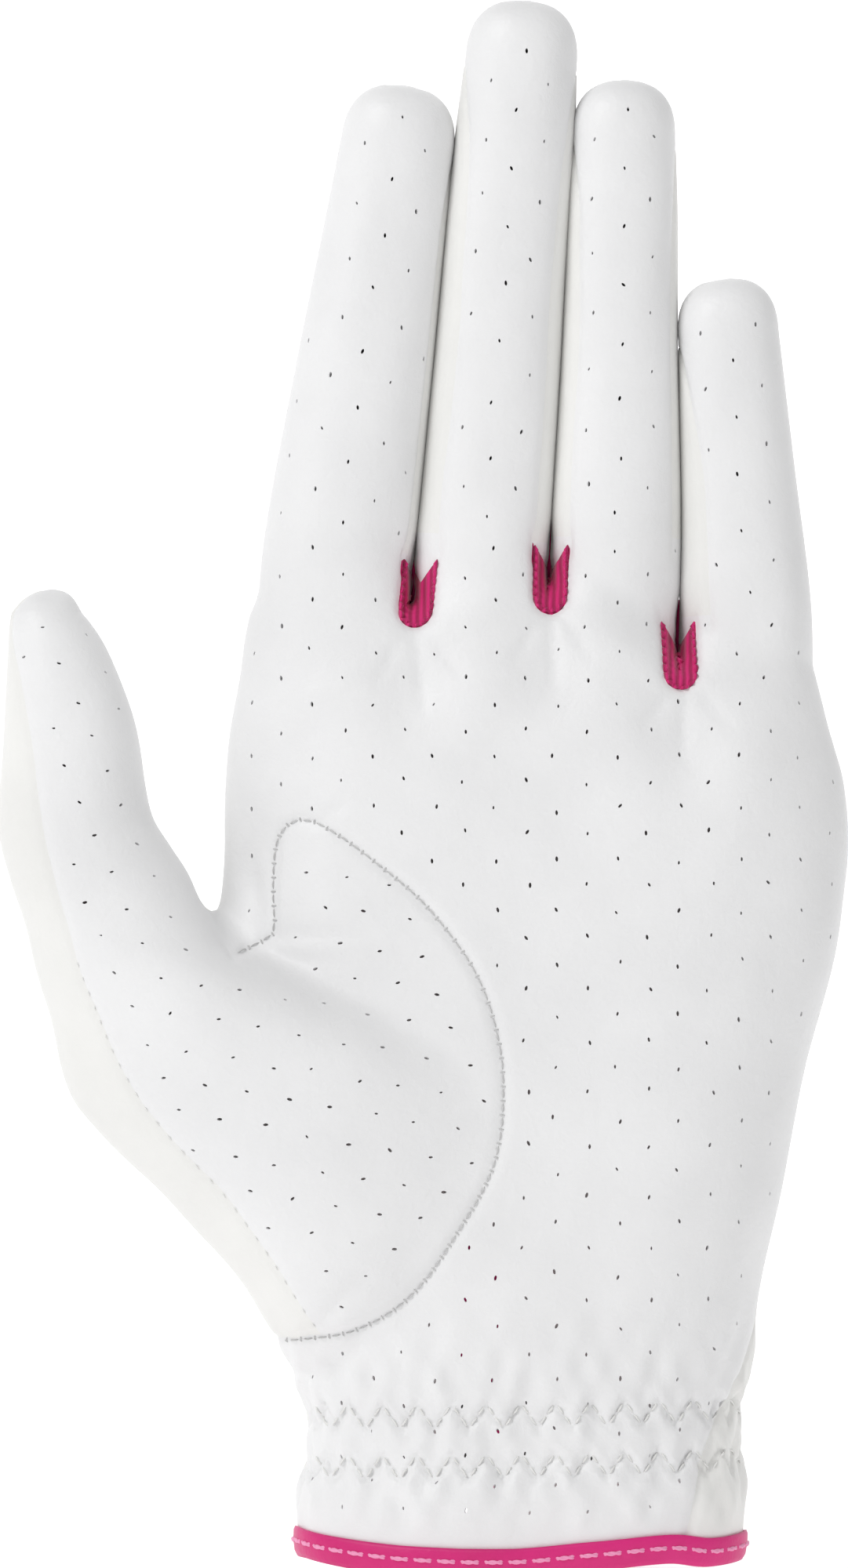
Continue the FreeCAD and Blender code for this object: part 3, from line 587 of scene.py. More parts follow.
def above_hem(points, owner):
    front = smoothstep(-points[:, 1], -8, 4)
    height = curve(points[:, 0], HEM_RISE) * front + BACK_HEM_RISE * (1 - front)
    return points[:, 2] - height - HEM_EDGE


def beside_slit(points, owner):
    x, y, z = points.T
    low = np.abs(x - SLIT_X) - curve(z, SLIT_HALF_WIDTH)
    high = np.hypot(x - SLIT_X, z - SLIT_TOP) - SLIT_HALF_WIDTH[1][1]
    return np.where(y > 0, np.where(z < SLIT_TOP, low, high), FAR)


# The seams, in the order in which they are cut.
CUTS = {"hem": above_hem, "slit": beside_slit, "thumb": thumb_region, "thumb_front": thumb_front,
        "thumb_root": lambda points, owner: thumb_above(points, 0),
        "thumb_mid": lambda points, owner: thumb_above(points, digits["thumb"]["lower"] / 2),
        "hand_front": hand_front, "gusset_1": gusset(0), "gusset_2": gusset(1), "gusset_3": gusset(2),
        "root": above_root, "mid": lambda points, owner: above_root(points, owner, 0.5),
        "finger_front": lambda points, owner: finger_wall(points, owner, 1),
        "finger_back": lambda points, owner: finger_wall(points, owner, -1)}


def cut(skin, name, field):
    """Split the skin's triangles along the zero line of a field, and keep its values."""
    values = field(skin["points"], skin["owner"])
    values = np.where(np.abs(values) < SNAP, 0, values)
    skin["values"][name] = values
    faces = skin["faces"]
    following = np.roll(faces, -1, axis=1)
    crossed = values[faces] * values[following] < 0
    keys = np.sort(np.stack([faces[crossed], following[crossed]], axis=1), axis=1)
    edges, inverse = np.unique(keys, axis=0, return_inverse=True)
    ids = np.full(faces.shape, -1)
    ids[crossed] = len(skin["points"]) + inverse.ravel()
    a, b = edges.T
    share = values[a] / (values[a] - values[b])
    skin["points"] = np.concatenate([skin["points"], mixed(skin["points"], a, b, share[:, None])])
    skin["owner"] = np.concatenate([skin["owner"], skin["owner"][a]])
    for other, kept in skin["values"].items():
        added = np.zeros(len(a)) if other == name else mixed(kept, a, b, share)
        skin["values"][other] = np.concatenate([kept, added])
    count = crossed.sum(1)
    made = [faces[count == 0]]
    one = count == 1
    turn = (np.argmax(crossed[one], axis=1)[:, None] + np.arange(3)) % 3
    corner, new = np.take_along_axis(faces[one], turn, 1), ids[one].max(1)
    made.append(np.stack([corner[:, 0], new, corner[:, 2]], axis=1))
    made.append(np.stack([new, corner[:, 1], corner[:, 2]], axis=1))
    two = count == 2
    whole = np.argmin(crossed[two], axis=1)
    turn = (whole[:, None] + np.arange(3)) % 3
    corner, new = np.take_along_axis(faces[two], turn, 1), np.take_along_axis(ids[two], turn, 1)
    made.append(np.stack([corner[:, 0], corner[:, 1], new[:, 1]], axis=1))
    made.append(np.stack([corner[:, 0], new[:, 1], new[:, 2]], axis=1))
    made.append(np.stack([corner[:, 2], new[:, 2], new[:, 1]], axis=1))
    skin["faces"] = np.concatenate(made)


def mixed(values, a, b, share):
    return values[a] * (1 - share) + values[b] * share


def sides(skin, name):
    return skin["values"][name][skin["faces"]].sum(1) > 0


def panel_of_faces(skin):
    """Name of the panel that each triangle belongs to, or nothing where the skin is open."""
    side = {name: sides(skin, name) for name in CUTS}
    centres = skin["points"][skin["faces"]].mean(1)
    owner = skin["owner"][skin["faces"][:, 0]]
    u = finger_section(centres, owner)[0]
    name = np.where(side["hand_front"], "palm_panel", "back_panel").astype("U40")
    for number in (1, 2, 3):
        name[~side[f"gusset_{number}"]] = f"gusset_{number}"
    for number, finger in enumerate(FINGERS):
        for part, here in (("lower", side["root"] & ~side["mid"]), ("upper", side["root"] & side["mid"])):
            mine = here & (owner == number)
            wall = np.where(u < 0, f"{finger}_thumbward_fourchette_{part}",
                            f"{finger}_outward_fourchette_{part}")
            wall = np.where(side["finger_back"], f"{finger}_back_{part}", wall)
            wall = np.where(side["finger_front"], f"{finger}_front_{part}", wall)
            name[mine] = wall[mine]
    thumb = ~side["thumb"] | side["thumb_root"]
    for part, here in (("base", ~side["thumb_root"]), ("lower", side["thumb_root"] & ~side["thumb_mid"]),
                       ("upper", side["thumb_mid"])):
        front = "thumb_panel_base" if part == "base" else f"thumb_front_{part}"
        chosen = np.where(side["thumb_front"], front, f"thumb_back_{part}")
        name[thumb & here] = chosen[thumb & here]
    name[~side["hem"] | ~side["slit"]] = ""
    return name


def settle_small_parts(faces, name, least=40):
    """Give each stray patch of a panel to the panel round it."""
    while True:
        edges = np.sort(np.concatenate([faces[:, [0, 1]], faces[:, [1, 2]], faces[:, [2, 0]]]), axis=1)
        face = np.tile(np.arange(len(faces)), 3)
        order = np.lexsort((edges[:, 1], edges[:, 0]))
        edges, face = edges[order], face[order]
        pair = np.flatnonzero((edges[:-1] == edges[1:]).all(1))
        first, second = face[pair], face[pair + 1]
        group = np.arange(len(faces))
        same = name[first] == name[second]
        while True:
            low = np.minimum(group[first[same]], group[second[same]])
            before = group.copy()
            np.minimum.at(group, first[same], low)
            np.minimum.at(group, second[same], low)
            group = group[group]
            if (group == before).all():
                break
        size = np.bincount(group, minlength=len(faces))[group]
        small = size < least
        changed = False
        for one, other in ((first, second), (second, first)):
            move = small[one] & ~small[other] & (name[one] != name[other])
            if move.any():
                name[one[move]] = name[other[move]]
                changed = True
        if not changed:
            return name


# ---------------------------------------------------------------- relief: seams, gathers and wrinkles

# Soft creases on the palm side: start and end (x, z), depth and width.
CREASES = (((-35, 89), (-21, 89.3), 0.5, 1.3), ((-34, 86), (-24, 85), 0.3, 1.0),
           ((-28, 105), (-24.3, 107.3), 0.35, 0.9), ((-38, 99), (-36.5, 91), 0.7, 1.6),
           ((-14.6, 131), (-13.4, 121), 0.35, 1.0), ((-16.5, 130.5), (-20, 124), 0.25, 0.9),
           ((-12.6, 130.5), (-8, 125), 0.25, 0.9), ((4.3, 134), (4.6, 124), 0.35, 1.0),
           ((2.8, 133), (-1, 127), 0.25, 0.9), ((6.2, 133), (10, 127.5), 0.25, 0.9),
           ((23, 123), (22.6, 114), 0.35, 1.0), ((21.4, 123), (17, 118), 0.25, 0.9),
           ((25, 123), (29, 118), 0.25, 0.9), ((-30, 27.5), (-24, 30), 0.45, 1.3),
           ((-29, 34), (-22, 41), 0.3, 1.4), ((27, 20), (21, 31), 0.3, 1.3), ((22, 14), (17, 25), 0.22, 1.2))
ROW_HEIGHTS = (15.6, 22.5)     # middles of the two zigzag rows, mm
ROW_TILT = 0.018               # rise of the rows towards the outer side
ZIGZAG_PITCH = 4.8
ZIGZAG_REACH = 1.75            # height of a zigzag's peak over its row's middle
# Stretch of the period, and phase, of each wave in the gathers and in the soft leather.
waves = [(rng.uniform(0.7, 1.3), rng.uniform(0, 2 * math.pi)) for _ in range(12)]


def zigzag_height(x, row):
    """Height of a zigzag row's stitching at x."""
    share = np.abs(((x / ZIGZAG_PITCH) % 1) - 0.5) * 4 - 1
    return ROW_HEIGHTS[row] + ROW_TILT * x + ZIGZAG_REACH * share


def crease_depth(x, z):
    depth = np.zeros_like(x)
    for (ax, az), (bx, bz), deep, width in CREASES:
        run, rise = bx - ax, bz - az
        share = np.clip(((x - ax) * run + (z - az) * rise) / (run * run + rise * rise), 0, 1)
        gap = np.hypot(x - ax - share * run, z - az - share * rise)
        depth += deep * np.sin(math.pi * (0.15 + 0.7 * share)) * bell(gap, width)
    return depth


def gathers(x, z):
    """Grooves under the cuff's zigzag rows, a dip along each row, and the wrinkles that run out of them."""
    height = np.zeros_like(x)
    for row in (0, 1):
        height -= 0.62 * bell(z - zigzag_height(x, row), 0.75)
        height -= 0.35 * bell(z - ROW_HEIGHTS[row] - ROW_TILT * x, 2.6)
    above, below = ROW_HEIGHTS[1] + 2, ROW_HEIGHTS[0] - 2
    for number, (stretch, phase) in enumerate(waves):
        long_wave = number % 2 == 0
        lean = 0.12 * (number - 5)
        period = ZIGZAG_PITCH * stretch * (1.45 if long_wave else 1.0)
        reach = 11 if long_wave else 7
        wave = np.sin(2 * math.pi * (x + lean * (z - 19)) / period + phase)
        fade = bell(np.maximum(z - above, 0), reach) * bell(np.minimum(z - below, 0), reach * 0.8)
        height += 0.085 * wave * fade
    return height


def soft_waves(x, z):
    """Large, faint unevenness of soft leather over the filled hand."""
    height = 0
    for number, (stretch, phase) in enumerate(waves):
        angle = 0.9 * number
        along = x * math.cos(angle) + z * math.sin(angle)
        height = height + 0.045 * np.sin(2 * math.pi * along / (17 * stretch) + phase)
    return height


def relief(skin):
    """How far each vertex of the skin moves out along its normal."""
    points, values, owner = skin["points"], skin["values"], skin["owner"]
    x, y, z = points.T
    u, _, _, along = finger_section(points, owner)
    between_fingers = smoothstep(np.abs(u), 0.7, 0.95) * smoothstep(along, -12, -6)
    height = soft_waves(x + 0.7 * y, z) * (1 - between_fingers)
    height -= crease_depth(x, z) * smoothstep(-y, -2, 4)
    round_hand = x + 0.6 * np.sign(x) * np.maximum(y + 12, 0)
    height += gathers(round_hand, z) * np.where(y < 6, 1, 0.5) * smoothstep(z, 4, 9)
    height -= 0.45 * bell(values["thumb"], 0.75)
    in_thumb = smoothstep(-values["thumb"], -0.5, 0.5)
    height -= 0.26 * bell(values["thumb_front"], 0.55) * in_thumb * smoothstep(x, -30, -34)
    has_fourchette = np.where(u < 0, owner > 0, owner < 3) * smoothstep(along, -4, -2)
    for wall in ("finger_front", "finger_back"):
        height -= 0.3 * bell(values[wall], 0.5) * has_fourchette
    for number in (1, 2, 3):
        height -= 0.3 * bell(values[f"gusset_{number}"], 0.5)
        height -= 0.25 * smoothstep(-values[f"gusset_{number}"], 0.2, 0.9)
    height -= 0.5 * bell(values["hand_front"], 0.65) * (x > 0) * smoothstep(z, 42, 34)
    return height


def vertex_normals(points, faces):
    corners = points[faces]
    normal = np.cross(corners[:, 1] - corners[:, 0], corners[:, 2] - corners[:, 0])
    total = np.zeros_like(points)
    for column in range(3):
        np.add.at(total, faces[:, column], normal)
    return total / np.maximum(np.linalg.norm(total, axis=1), 1e-9)[:, None]


def make_panels():
    """Cut, shape and name the skin's triangles."""
    points, faces, owner = make_skin()
    skin = {"points": points, "faces": faces, "owner": owner, "values": {}}
    for name, field in CUTS.items():
        cut(skin, name, field)
    skin["panel"] = settle_small_parts(skin["faces"], panel_of_faces(skin))
    normals = vertex_normals(skin["points"], skin["faces"])
    skin["points"] = skin["points"] + normals * relief(skin)[:, None]
    skin["normals"] = vertex_normals(skin["points"], skin["faces"])
    return skin


# ---------------------------------------------------------------- mesh helpers

def new_object(name, points, faces, material=None):
    """Object of a mesh given in millimetres."""
    mesh = bpy.data.meshes.new(name)
    mesh.from_pydata((np.asarray(points) * MM).tolist(), [], [list(map(int, face)) for face in faces])
    if material:
        mesh.materials.append(material)
    mesh.polygons.foreach_set("use_smooth", [True] * len(mesh.polygons))
    mesh.update()
    made = bpy.data.objects.new(name, mesh)
    bpy.context.collection.objects.link(made)
    return made


def shell_parts(points, normals, faces, thickness):
    """Points and faces of a closed sheet: its outer face, its inner face and its rims."""
    used, local = np.unique(faces, return_inverse=True)
    local = local.reshape(faces.shape)
    outer = points[used]
    inner = outer - normals[used] * thickness
    count = len(used)
    edges = np.concatenate([local[:, [0, 1]], local[:, [1, 2]], local[:, [2, 0]]])
    keys = edges[:, 0] * count + edges[:, 1]
    single = ~np.isin(keys, edges[:, 1] * count + edges[:, 0])
    a, b = edges[single].T
    rims = np.concatenate([np.stack([b, a, a + count], axis=1), np.stack([b, a + count, b + count], axis=1)])
    return np.concatenate([outer, inner]), np.concatenate([local, local[:, ::-1] + count, rims])


def set_smooth_normals(obj, tree, normals):
    """Shade both faces of a sheet by the skin's own normals, and its cut edges flat."""
    mesh = obj.data
    co = np.empty(len(mesh.vertices) * 3)
    mesh.vertices.foreach_get("co", co)
    nearest = np.array([tree.find(point)[1] for point in co.reshape(-1, 3)])
    loops = np.empty(len(mesh.loops), np.int32)
    mesh.loops.foreach_get("vertex_index", loops)
    totals = np.empty(len(mesh.polygons), np.int32)
    mesh.polygons.foreach_get("loop_total", totals)
    flat = np.empty(len(mesh.polygons) * 3)
    mesh.polygons.foreach_get("normal", flat)
    flat = np.repeat(flat.reshape(-1, 3), totals, axis=0)
    wanted = normals[nearest][loops]
    agree = (wanted * flat).sum(1)[:, None]
    chosen = np.where(agree > 0.45, wanted, np.where(agree < -0.45, -wanted, flat))
    mesh.normals_split_custom_set(chosen.tolist())


def tube(path, radius, sides=6):
    """Round thread along a path of points, with tapered ends."""
    path = np.asarray(path, float)
    tangent = np.gradient(path, axis=0)
    tangent /= np.maximum(np.linalg.norm(tangent, axis=1), 1e-9)[:, None]
    side = np.cross(tangent, (0.31, 0.83, 0.47))
    side /= np.linalg.norm(side, axis=1)[:, None]
    other = np.cross(tangent, side)
    size = np.full(len(path), radius)
    size[0] = size[-1] = 0.45 * radius
    angle = np.arange(sides) * 2 * math.pi / sides
    ring = side[:, None] * np.cos(angle)[None, :, None] + other[:, None] * np.sin(angle)[None, :, None]
    points = (path[:, None] + ring * size[:, None, None]).reshape(-1, 3)
    faces = []
    for row in range(len(path) - 1):
        start, end = row * sides, (row + 1) * sides
        for k in range(sides):
            following = (k + 1) % sides
            faces.append((start + k, start + following, end + following, end + k))
    faces.append(tuple(range(sides))[::-1])
    faces.append(tuple(range(len(points) - sides, len(points))))
    return points, faces


def joined(parts):
    """Points and faces of several meshes as one, without those that couldn't be made."""
    points, faces, base = [], [], 0
    for some_points, some_faces in filter(None, parts):
        points.append(some_points)
        faces += [tuple(base + int(k) for k in face) for face in some_faces]
        base += len(some_points)
    return np.concatenate(points), faces


# ---------------------------------------------------------------- materials

def node_material(name, colour, roughness, sheen=0.0):
    material = bpy.data.materials.new(name)
    material.use_nodes = True
    nodes, links = material.node_tree.nodes, material.node_tree.links
    shader = nodes["Principled BSDF"]
    shader.inputs["Base Color"].default_value = (*colour, 1)
    shader.inputs["Roughness"].default_value = roughness
    shader.inputs["Sheen Weight"].default_value = sheen
    shader.inputs["Sheen Roughness"].default_value = 0.4
    return material, nodes, links, shader


def texture(nodes, links, kind, scale, **sockets):
    """A texture node that follows the piece's own coordinates."""
    where = nodes.get("Coordinates")
    if where is None:
        where = nodes.new("ShaderNodeTexCoord")
        where.name = "Coordinates"
    node = nodes.new(kind)
    links.new(where.outputs["Object"], node.inputs["Vector"])
    node.inputs["Scale"].default_value = scale
    for socket, value in sockets.items():
        node.inputs[socket].default_value = value
    return node


def add_bump(nodes, links, shader, height, strength, distance):
    """Put a bump before whatever bump the shader has."""
    bump = nodes.new("ShaderNodeBump")
    bump.inputs["Strength"].default_value = strength
    bump.inputs["Distance"].default_value = distance
    links.new(height, bump.inputs["Height"])
    if shader.inputs["Normal"].is_linked:
        links.new(shader.inputs["Normal"].links[0].from_socket, bump.inputs["Normal"])
    links.new(bump.outputs["Normal"], shader.inputs["Normal"])


def tinted(nodes, links, shader, source, first, second, low=0.35, high=0.65):
    """Colour the shader from one colour to another by a texture's value."""
    ramp = nodes.new("ShaderNodeValToRGB")
    for element, place, colour in zip(ramp.color_ramp.elements, (low, high), (first, second)):
        element.position = place
        element.color = (*colour, 1)
    links.new(source, ramp.inputs["Fac"])
    links.new(ramp.outputs["Color"], shader.inputs["Base Color"])


def leather(name, light, dark, grain=0.35):
    """Soft, fine-grained glove leather: pebbled, with faint creases."""
    material, nodes, links, shader = node_material(name, light, 0.5, 0.08)
    mottle = texture(nodes, links, "ShaderNodeTexNoise", 55, Detail=3, Roughness=0.55)
    tinted(nodes, links, shader, mottle.outputs["Fac"], dark, light)
    pebble = texture(nodes, links, "ShaderNodeTexVoronoi", 1500)
    add_bump(nodes, links, shader, pebble.outputs["Distance"], grain * 0.5, 0.00012)
    creases = texture(nodes, links, "ShaderNodeTexNoise", 420, Detail=5, Roughness=0.62, Distortion=0.6)
    add_bump(nodes, links, shader, creases.outputs["Fac"], grain, 0.00035)
    return material


def cloth(name, light, dark, ribs, strength=0.6):
    """Ribbed knit or woven tape, with painted shade in the grooves between its ribs: the more ribs, the
    finer.
    """
    material, nodes, links, shader = node_material(name, light, 0.75, 0.3)
    wave = texture(nodes, links, "ShaderNodeTexWave", ribs, Distortion=0.8, Detail=1)
    wave.bands_direction = "X"
    # Painted shade: the grooves between the ribs take the darker colour, driven by the same wave as their
    # bump.
    tinted(nodes, links, shader, wave.outputs["Fac"], dark, light, 0.1, 0.75)
    add_bump(nodes, links, shader, wave.outputs["Fac"], strength, 0.0003)
    fuzz = texture(nodes, links, "ShaderNodeTexNoise", 2600, Detail=2)
    add_bump(nodes, links, shader, fuzz.outputs["Fac"], 0.3, 0.00012)
    return material


def thread(name, colour):
    material, nodes, links, shader = node_material(name, colour, 0.55, 0.2)
    twist = texture(nodes, links, "ShaderNodeTexNoise", 3500, Detail=1)
    add_bump(nodes, links, shader, twist.outputs["Fac"], 0.4, 0.0001)
    return material


palm_leather = leather("glove_leather", (0.84, 0.84, 0.845), (0.80, 0.80, 0.805))
plain_leather = leather("plain_leather", (0.835, 0.832, 0.812), (0.795, 0.792, 0.772), 0.25)
# Each cloth's second colour is painted shade for the grooves between its ribs.
pink_knit = cloth("pink_knit", (0.68, 0.012, 0.175), (0.38, 0.005, 0.085), 330)
pink_binding = leather("pink_binding", (0.71, 0.01, 0.2), (0.62, 0.008, 0.165), 0.3)
elastic_cloth = cloth("elastic", (0.78, 0.78, 0.76), (0.6, 0.6, 0.58), 300)
loop_cloth = cloth("loop_pile", (0.75, 0.75, 0.74), (0.6, 0.6, 0.59), 700, 0.8)
hook_cloth = cloth("hook_tape", (0.72, 0.72, 0.71), (0.5, 0.5, 0.5), 500, 1.0)
grey_thread = thread("grey_thread", (0.56, 0.56, 0.555))
white_thread = thread("white_thread", (0.78, 0.78, 0.76))
pink_thread = thread("pink_thread", (0.88, 0.32, 0.54))


# ---------------------------------------------------------------- panels of the skin

skin = make_panels()
skin_tree = KDTree(len(skin["points"]))
for number, point in enumerate(skin["points"] * MM):
    skin_tree.insert(point, number)
skin_tree.balance()
shown = skin["panel"] != ""
skin_bvh = BVHTree.FromPolygons(skin["points"].tolist(), skin["faces"].tolist())


def locate(x, z, side=-1):
    """Point, normal and triangle of the skin met from the palm side, or from the back."""
    hit = skin_bvh.ray_cast(Vector((x, side * 60, z)), Vector((0, -side, 0)))
    if hit[0] is None:
        return None
    corner = skin["faces"][hit[2]]
    normal = skin["normals"][corner].mean(0)
    return np.array(hit[0]), normal / np.linalg.norm(normal), hit[2]


# How near a hole may come to each seam, by the part of the glove it is in, mm.
SEAM_CLEARANCE = {finger: {"finger_front": 1.1, "finger_back": 1.1} for finger in FINGERS}
SEAM_CLEARANCE["thumb"] = {"thumb": 1.5, "thumb_front": 1.5}
SEAM_CLEARANCE["hand"] = {"thumb": 1.5, "gusset_1": 1.6, "gusset_2": 1.6, "gusset_3": 1.6,
                          "slit": 3.6, "hem": 5.0}
HOLE_LONG, HOLE_SHORT = 0.33, 0.17
HOLE_SIDES = 8
STEEPEST = 0.42                # no hole where the leather turns further from the front than this
# Width and height of the holes' lattice, mm.
PALM_STEP = (8.5, 7.2)
FINGER_STEP = (8.3, 8.1)
THUMB_STEP = (5.9, 9.0)
THUMB_TURN = 0.17              # the thumb's lattice leans, radians
BACK_OFFSET = 1.9              # the back's holes don't lie behind the palm's


def lattice(step, low, high, tilt=0.0):
    """Centred rectangular lattice over a box: two points to each cell."""
    found = []
    cos, sin = math.cos(tilt), math.sin(tilt)
    for row in range(int((high[1] - low[1]) / step[1] * 2) + 1):
        for column in range(int((high[0] - low[0]) / step[0]) + 1):
            a = low[0] + (column + 0.5 * (row % 2)) * step[0]
            b = low[1] + row * step[1] / 2
            found.append((a * cos + b * sin, b * cos - a * sin))
    return found


def hole_places():
    """Where the leather is pricked: (x, z, side, turn of the slit)."""
    places = []
    for side in (-1, 1):
        offset = 0 if side < 0 else BACK_OFFSET
        for x, z in lattice(PALM_STEP, (-46 + offset, 6 + offset), (47, 146)):
            places.append((x, z, side, 0, "hand"))
        for finger in FINGERS:
            size = digits[finger]
            for a, b in lattice(FINGER_STEP, (-8.3 + offset, 3 + offset / 2), (8.4, size["length"] - 4)):
                x = size["root"][0] + a * size["across"][0] + b * size["up"][0]
                z = size["root"][2] + a * size["across"][2] + b * size["up"][2]
                places.append((x, z, side, 0, finger))
        for x, z in lattice(THUMB_STEP, (-90, 15), (12, 150), THUMB_TURN):
            places.append((x, z, side, math.pi / 2, "thumb"))
    return places


def belongs(panel, zone, side):
    """Whether a panel takes the holes of a part of the glove: the back's edge on the palm side has none."""
    if zone == "hand":
        return panel == "palm_panel" or (panel == "back_panel" and side > 0)
    starts = ("thumb_panel", "thumb_front") if zone == "thumb" else (f"{zone}_front", f"{zone}_back")
    return panel.startswith(starts)


def hole_prism(point, normal, turn, size):
    """A little prism through the leather, for a slit at an angle from upright."""
    up = np.array([math.sin(turn), 0, math.cos(turn)])
    up -= normal * (up @ normal)
    up /= np.linalg.norm(up)
    across = np.cross(up, normal)
    ring = [up * math.cos(a) * HOLE_LONG * size + across * math.sin(a) * HOLE_SHORT * size
            for a in np.arange(HOLE_SIDES) * 2 * math.pi / HOLE_SIDES]
    top, bottom = point + normal * 0.7, point - normal * (LEATHER + 0.5)
    points = np.array([top + r for r in ring] + [bottom + r for r in ring])
    n = HOLE_SIDES
    faces = [(k, (k + 1) % n, (k + 1) % n + n, k + n) for k in range(n)]
    faces += [tuple(range(n))[::-1], tuple(range(n, 2 * n))]
    if np.cross(ring[0], ring[2]) @ normal > 0:
        faces = [face[::-1] for face in faces]
    return points, faces


def punches():
    """The prisms that prick the leather, by panel."""
    found = {}
    for x, z, side, turn, zone in hole_places():
        shift_x, shift_z, swing = (rng.normal(0, spread) for spread in (0.25, 0.25, 0.3))
        hit = locate(x + shift_x, z + shift_z, side)
        if hit is None:
            continue
        point, normal, face = hit
        panel = skin["panel"][face]
        if not belongs(panel, zone, side) or abs(normal[1]) < STEEPEST:
            continue
        corner = skin["faces"][face][0]
        if any(abs(skin["values"][seam][corner]) < gap for seam, gap in SEAM_CLEARANCE[zone].items()):
            continue
        prism = hole_prism(point, normal, turn + swing, rng.uniform(0.75, 1.2))
        found.setdefault(panel, []).append(prism)
    return found


def pricked(obj, prisms):
    """Cut the holes out of a panel."""
    cutter = new_object("cutter", *joined(prisms))
    change = obj.modifiers.new("holes", "BOOLEAN")
    change.operation = "DIFFERENCE"
    change.solver = "MANIFOLD"
    change.object = cutter
    graph = bpy.context.evaluated_depsgraph_get()
    made = bpy.data.meshes.new_from_object(obj.evaluated_get(graph))
    obj.modifiers.clear()
    bpy.data.objects.remove(cutter)
    if len(made.polygons) > len(obj.data.polygons):
        obj.data = made
    else:
        print("NOT PRICKED", obj.name)


def attach(obj, panel):
    """Let a panel of the hand, or the thumb's base panel, move with the hand's body; any other panel only has
    its placement baked into its mesh.
    """
    digit = panel.split("_")[0]
    if digit not in DIGITS or panel.endswith("_base"):
        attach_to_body(obj, "hand")
        return
    if panel.endswith("_lower"):
        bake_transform(obj)
    else:
        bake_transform(obj)


def panel_look(panel):
    """Material of a panel, and a label for it, which only sets whether the piece is named knit or leather."""
    if panel.startswith("gusset"):
        return pink_knit, "knit"
    if "fourchette" in panel:
        return plain_leather, "fourchette_leather"
    return plain_leather if "back" in panel else palm_leather, "leather"


def make_panel_pieces():
    holes = punches()
    for panel in sorted(set(skin["panel"]) - {""}):
        material, slot = panel_look(panel)
        faces = skin["faces"][skin["panel"] == panel]
        points, all_faces = shell_parts(skin["points"], skin["normals"], faces, LEATHER)
        suffix = "knit" if slot == "knit" else "leather"
        obj = new_object(f"{panel}_{suffix}", points, all_faces, material)
        if panel in holes:
            pricked(obj, holes[panel])
        set_smooth_normals(obj, skin_tree, skin["normals"])
        attach(obj, panel)
        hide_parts(panel)


make_panel_pieces()


# ---------------------------------------------------------------- bindings

HEM_BINDING_HEIGHT, SLIT_BINDING_HEIGHT = 3.4, 2.4
RUNNING_PITCH = 3.3
RUNNING_STEPS = 11             # points along one stitch and the gap after it
RUNNING_STRAND = 0.34 * 0.62   # radius of a strand, mm

def binding_profile(height):
    """Section of a folded binding: (out from the leather's face, along from its edge into the leather)."""
    out, skin_side = 0.68, 0.04
    inner = LEATHER + skin_side
    return ((skin_side, height), (0.45, height + 0.12), (out, height - 0.35), (out + 0.1, height / 2),
            (out, 0.2), (0.35, -0.5), (-0.35, -0.68), (-1.0, -0.35), (-inner - 0.55, 0.5),
            (-inner - 0.6, height / 2), (-inner - 0.4, height), (-inner, height),
            (-inner, 0.03), (skin_side, 0.03))


def swept(path, normals, inward, profile):
    """Sweep a closed profile along an open path, with flat ends."""
    offsets = np.array(profile)
    points = path[:, None] + normals[:, None] * offsets[None, :, :1] + inward[:, None] * offsets[None, :, 1:]
    count = len(profile)
    faces = []
    for row in range(len(path) - 1):
        for k in range(count):
            following = (k + 1) % count
            faces.append((row * count + k, (row + 1) * count + k, (row + 1) * count + following,
                          row * count + following))
    faces.append(tuple(range(count)))
    faces.append(tuple(range((len(path) - 1) * count, len(path) * count))[::-1])
    return points.reshape(-1, 3), faces


def even_steps(path, step):
    """A path resampled at even steps."""
    lengths = np.concatenate([[0], np.cumsum(np.linalg.norm(np.diff(path, axis=0), axis=1))])
    at = np.linspace(0, lengths[-1], max(int(lengths[-1] / step), 2) + 1)
    return np.stack([np.interp(at, lengths, path[:, k]) for k in range(path.shape[1])], axis=1)


def nearest_normal(point):
    return skin["normals"][skin_tree.find(Vector(point) * MM)[1]]


def open_edge(kind):
    """The leather's bare edge at the hem or the slit, in order along it."""
    faces = skin["faces"][shown]
    edges = np.concatenate([faces[:, [0, 1]], faces[:, [1, 2]], faces[:, [2, 0]]])
    keys = edges[:, 0] * len(skin["points"]) + edges[:, 1]
    single = edges[~np.isin(keys, edges[:, 1] * len(skin["points"]) + edges[:, 0])]
    on_line = skin["values"][kind] == 0
    single = single[on_line[single].all(1)]
    following = dict(single.tolist())
    starts = set(following) - set(following.values())
    best = []
    for start in sorted(starts):
        chain = [start]
        while chain[-1] in following and len(chain) < 5000:
            chain.append(following[chain[-1]])
        if len(chain) > len(best):
            best = chain
    return skin["points"][best]


def edge_frames(path):
    """Outward normals of the leather along a path, and the direction into the leather from its edge."""
    normals = smoothed(np.array([nearest_normal(point) for point in path]), 6)
    tangent = np.gradient(path, axis=0)
    tangent /= np.linalg.norm(tangent, axis=1)[:, None]
    normals -= tangent * (normals * tangent).sum(1)[:, None]
    normals /= np.linalg.norm(normals, axis=1)[:, None]
    return normals, np.cross(normals, tangent)


def smoothed(rows, rounds):
    """Rows with each one but the ends evened out with its neighbours."""
    for _ in range(rounds):
        rows[1:-1] = (rows[:-2] + rows[1:-1] * 2 + rows[2:]) / 4
    return rows


def soft_object(name, points, faces, material, slot, body="hand", nodes=()):
    obj = new_object(name, points, faces, material)
    if body:
        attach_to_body(obj, body)
    if nodes:
        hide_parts(*nodes)
    return obj


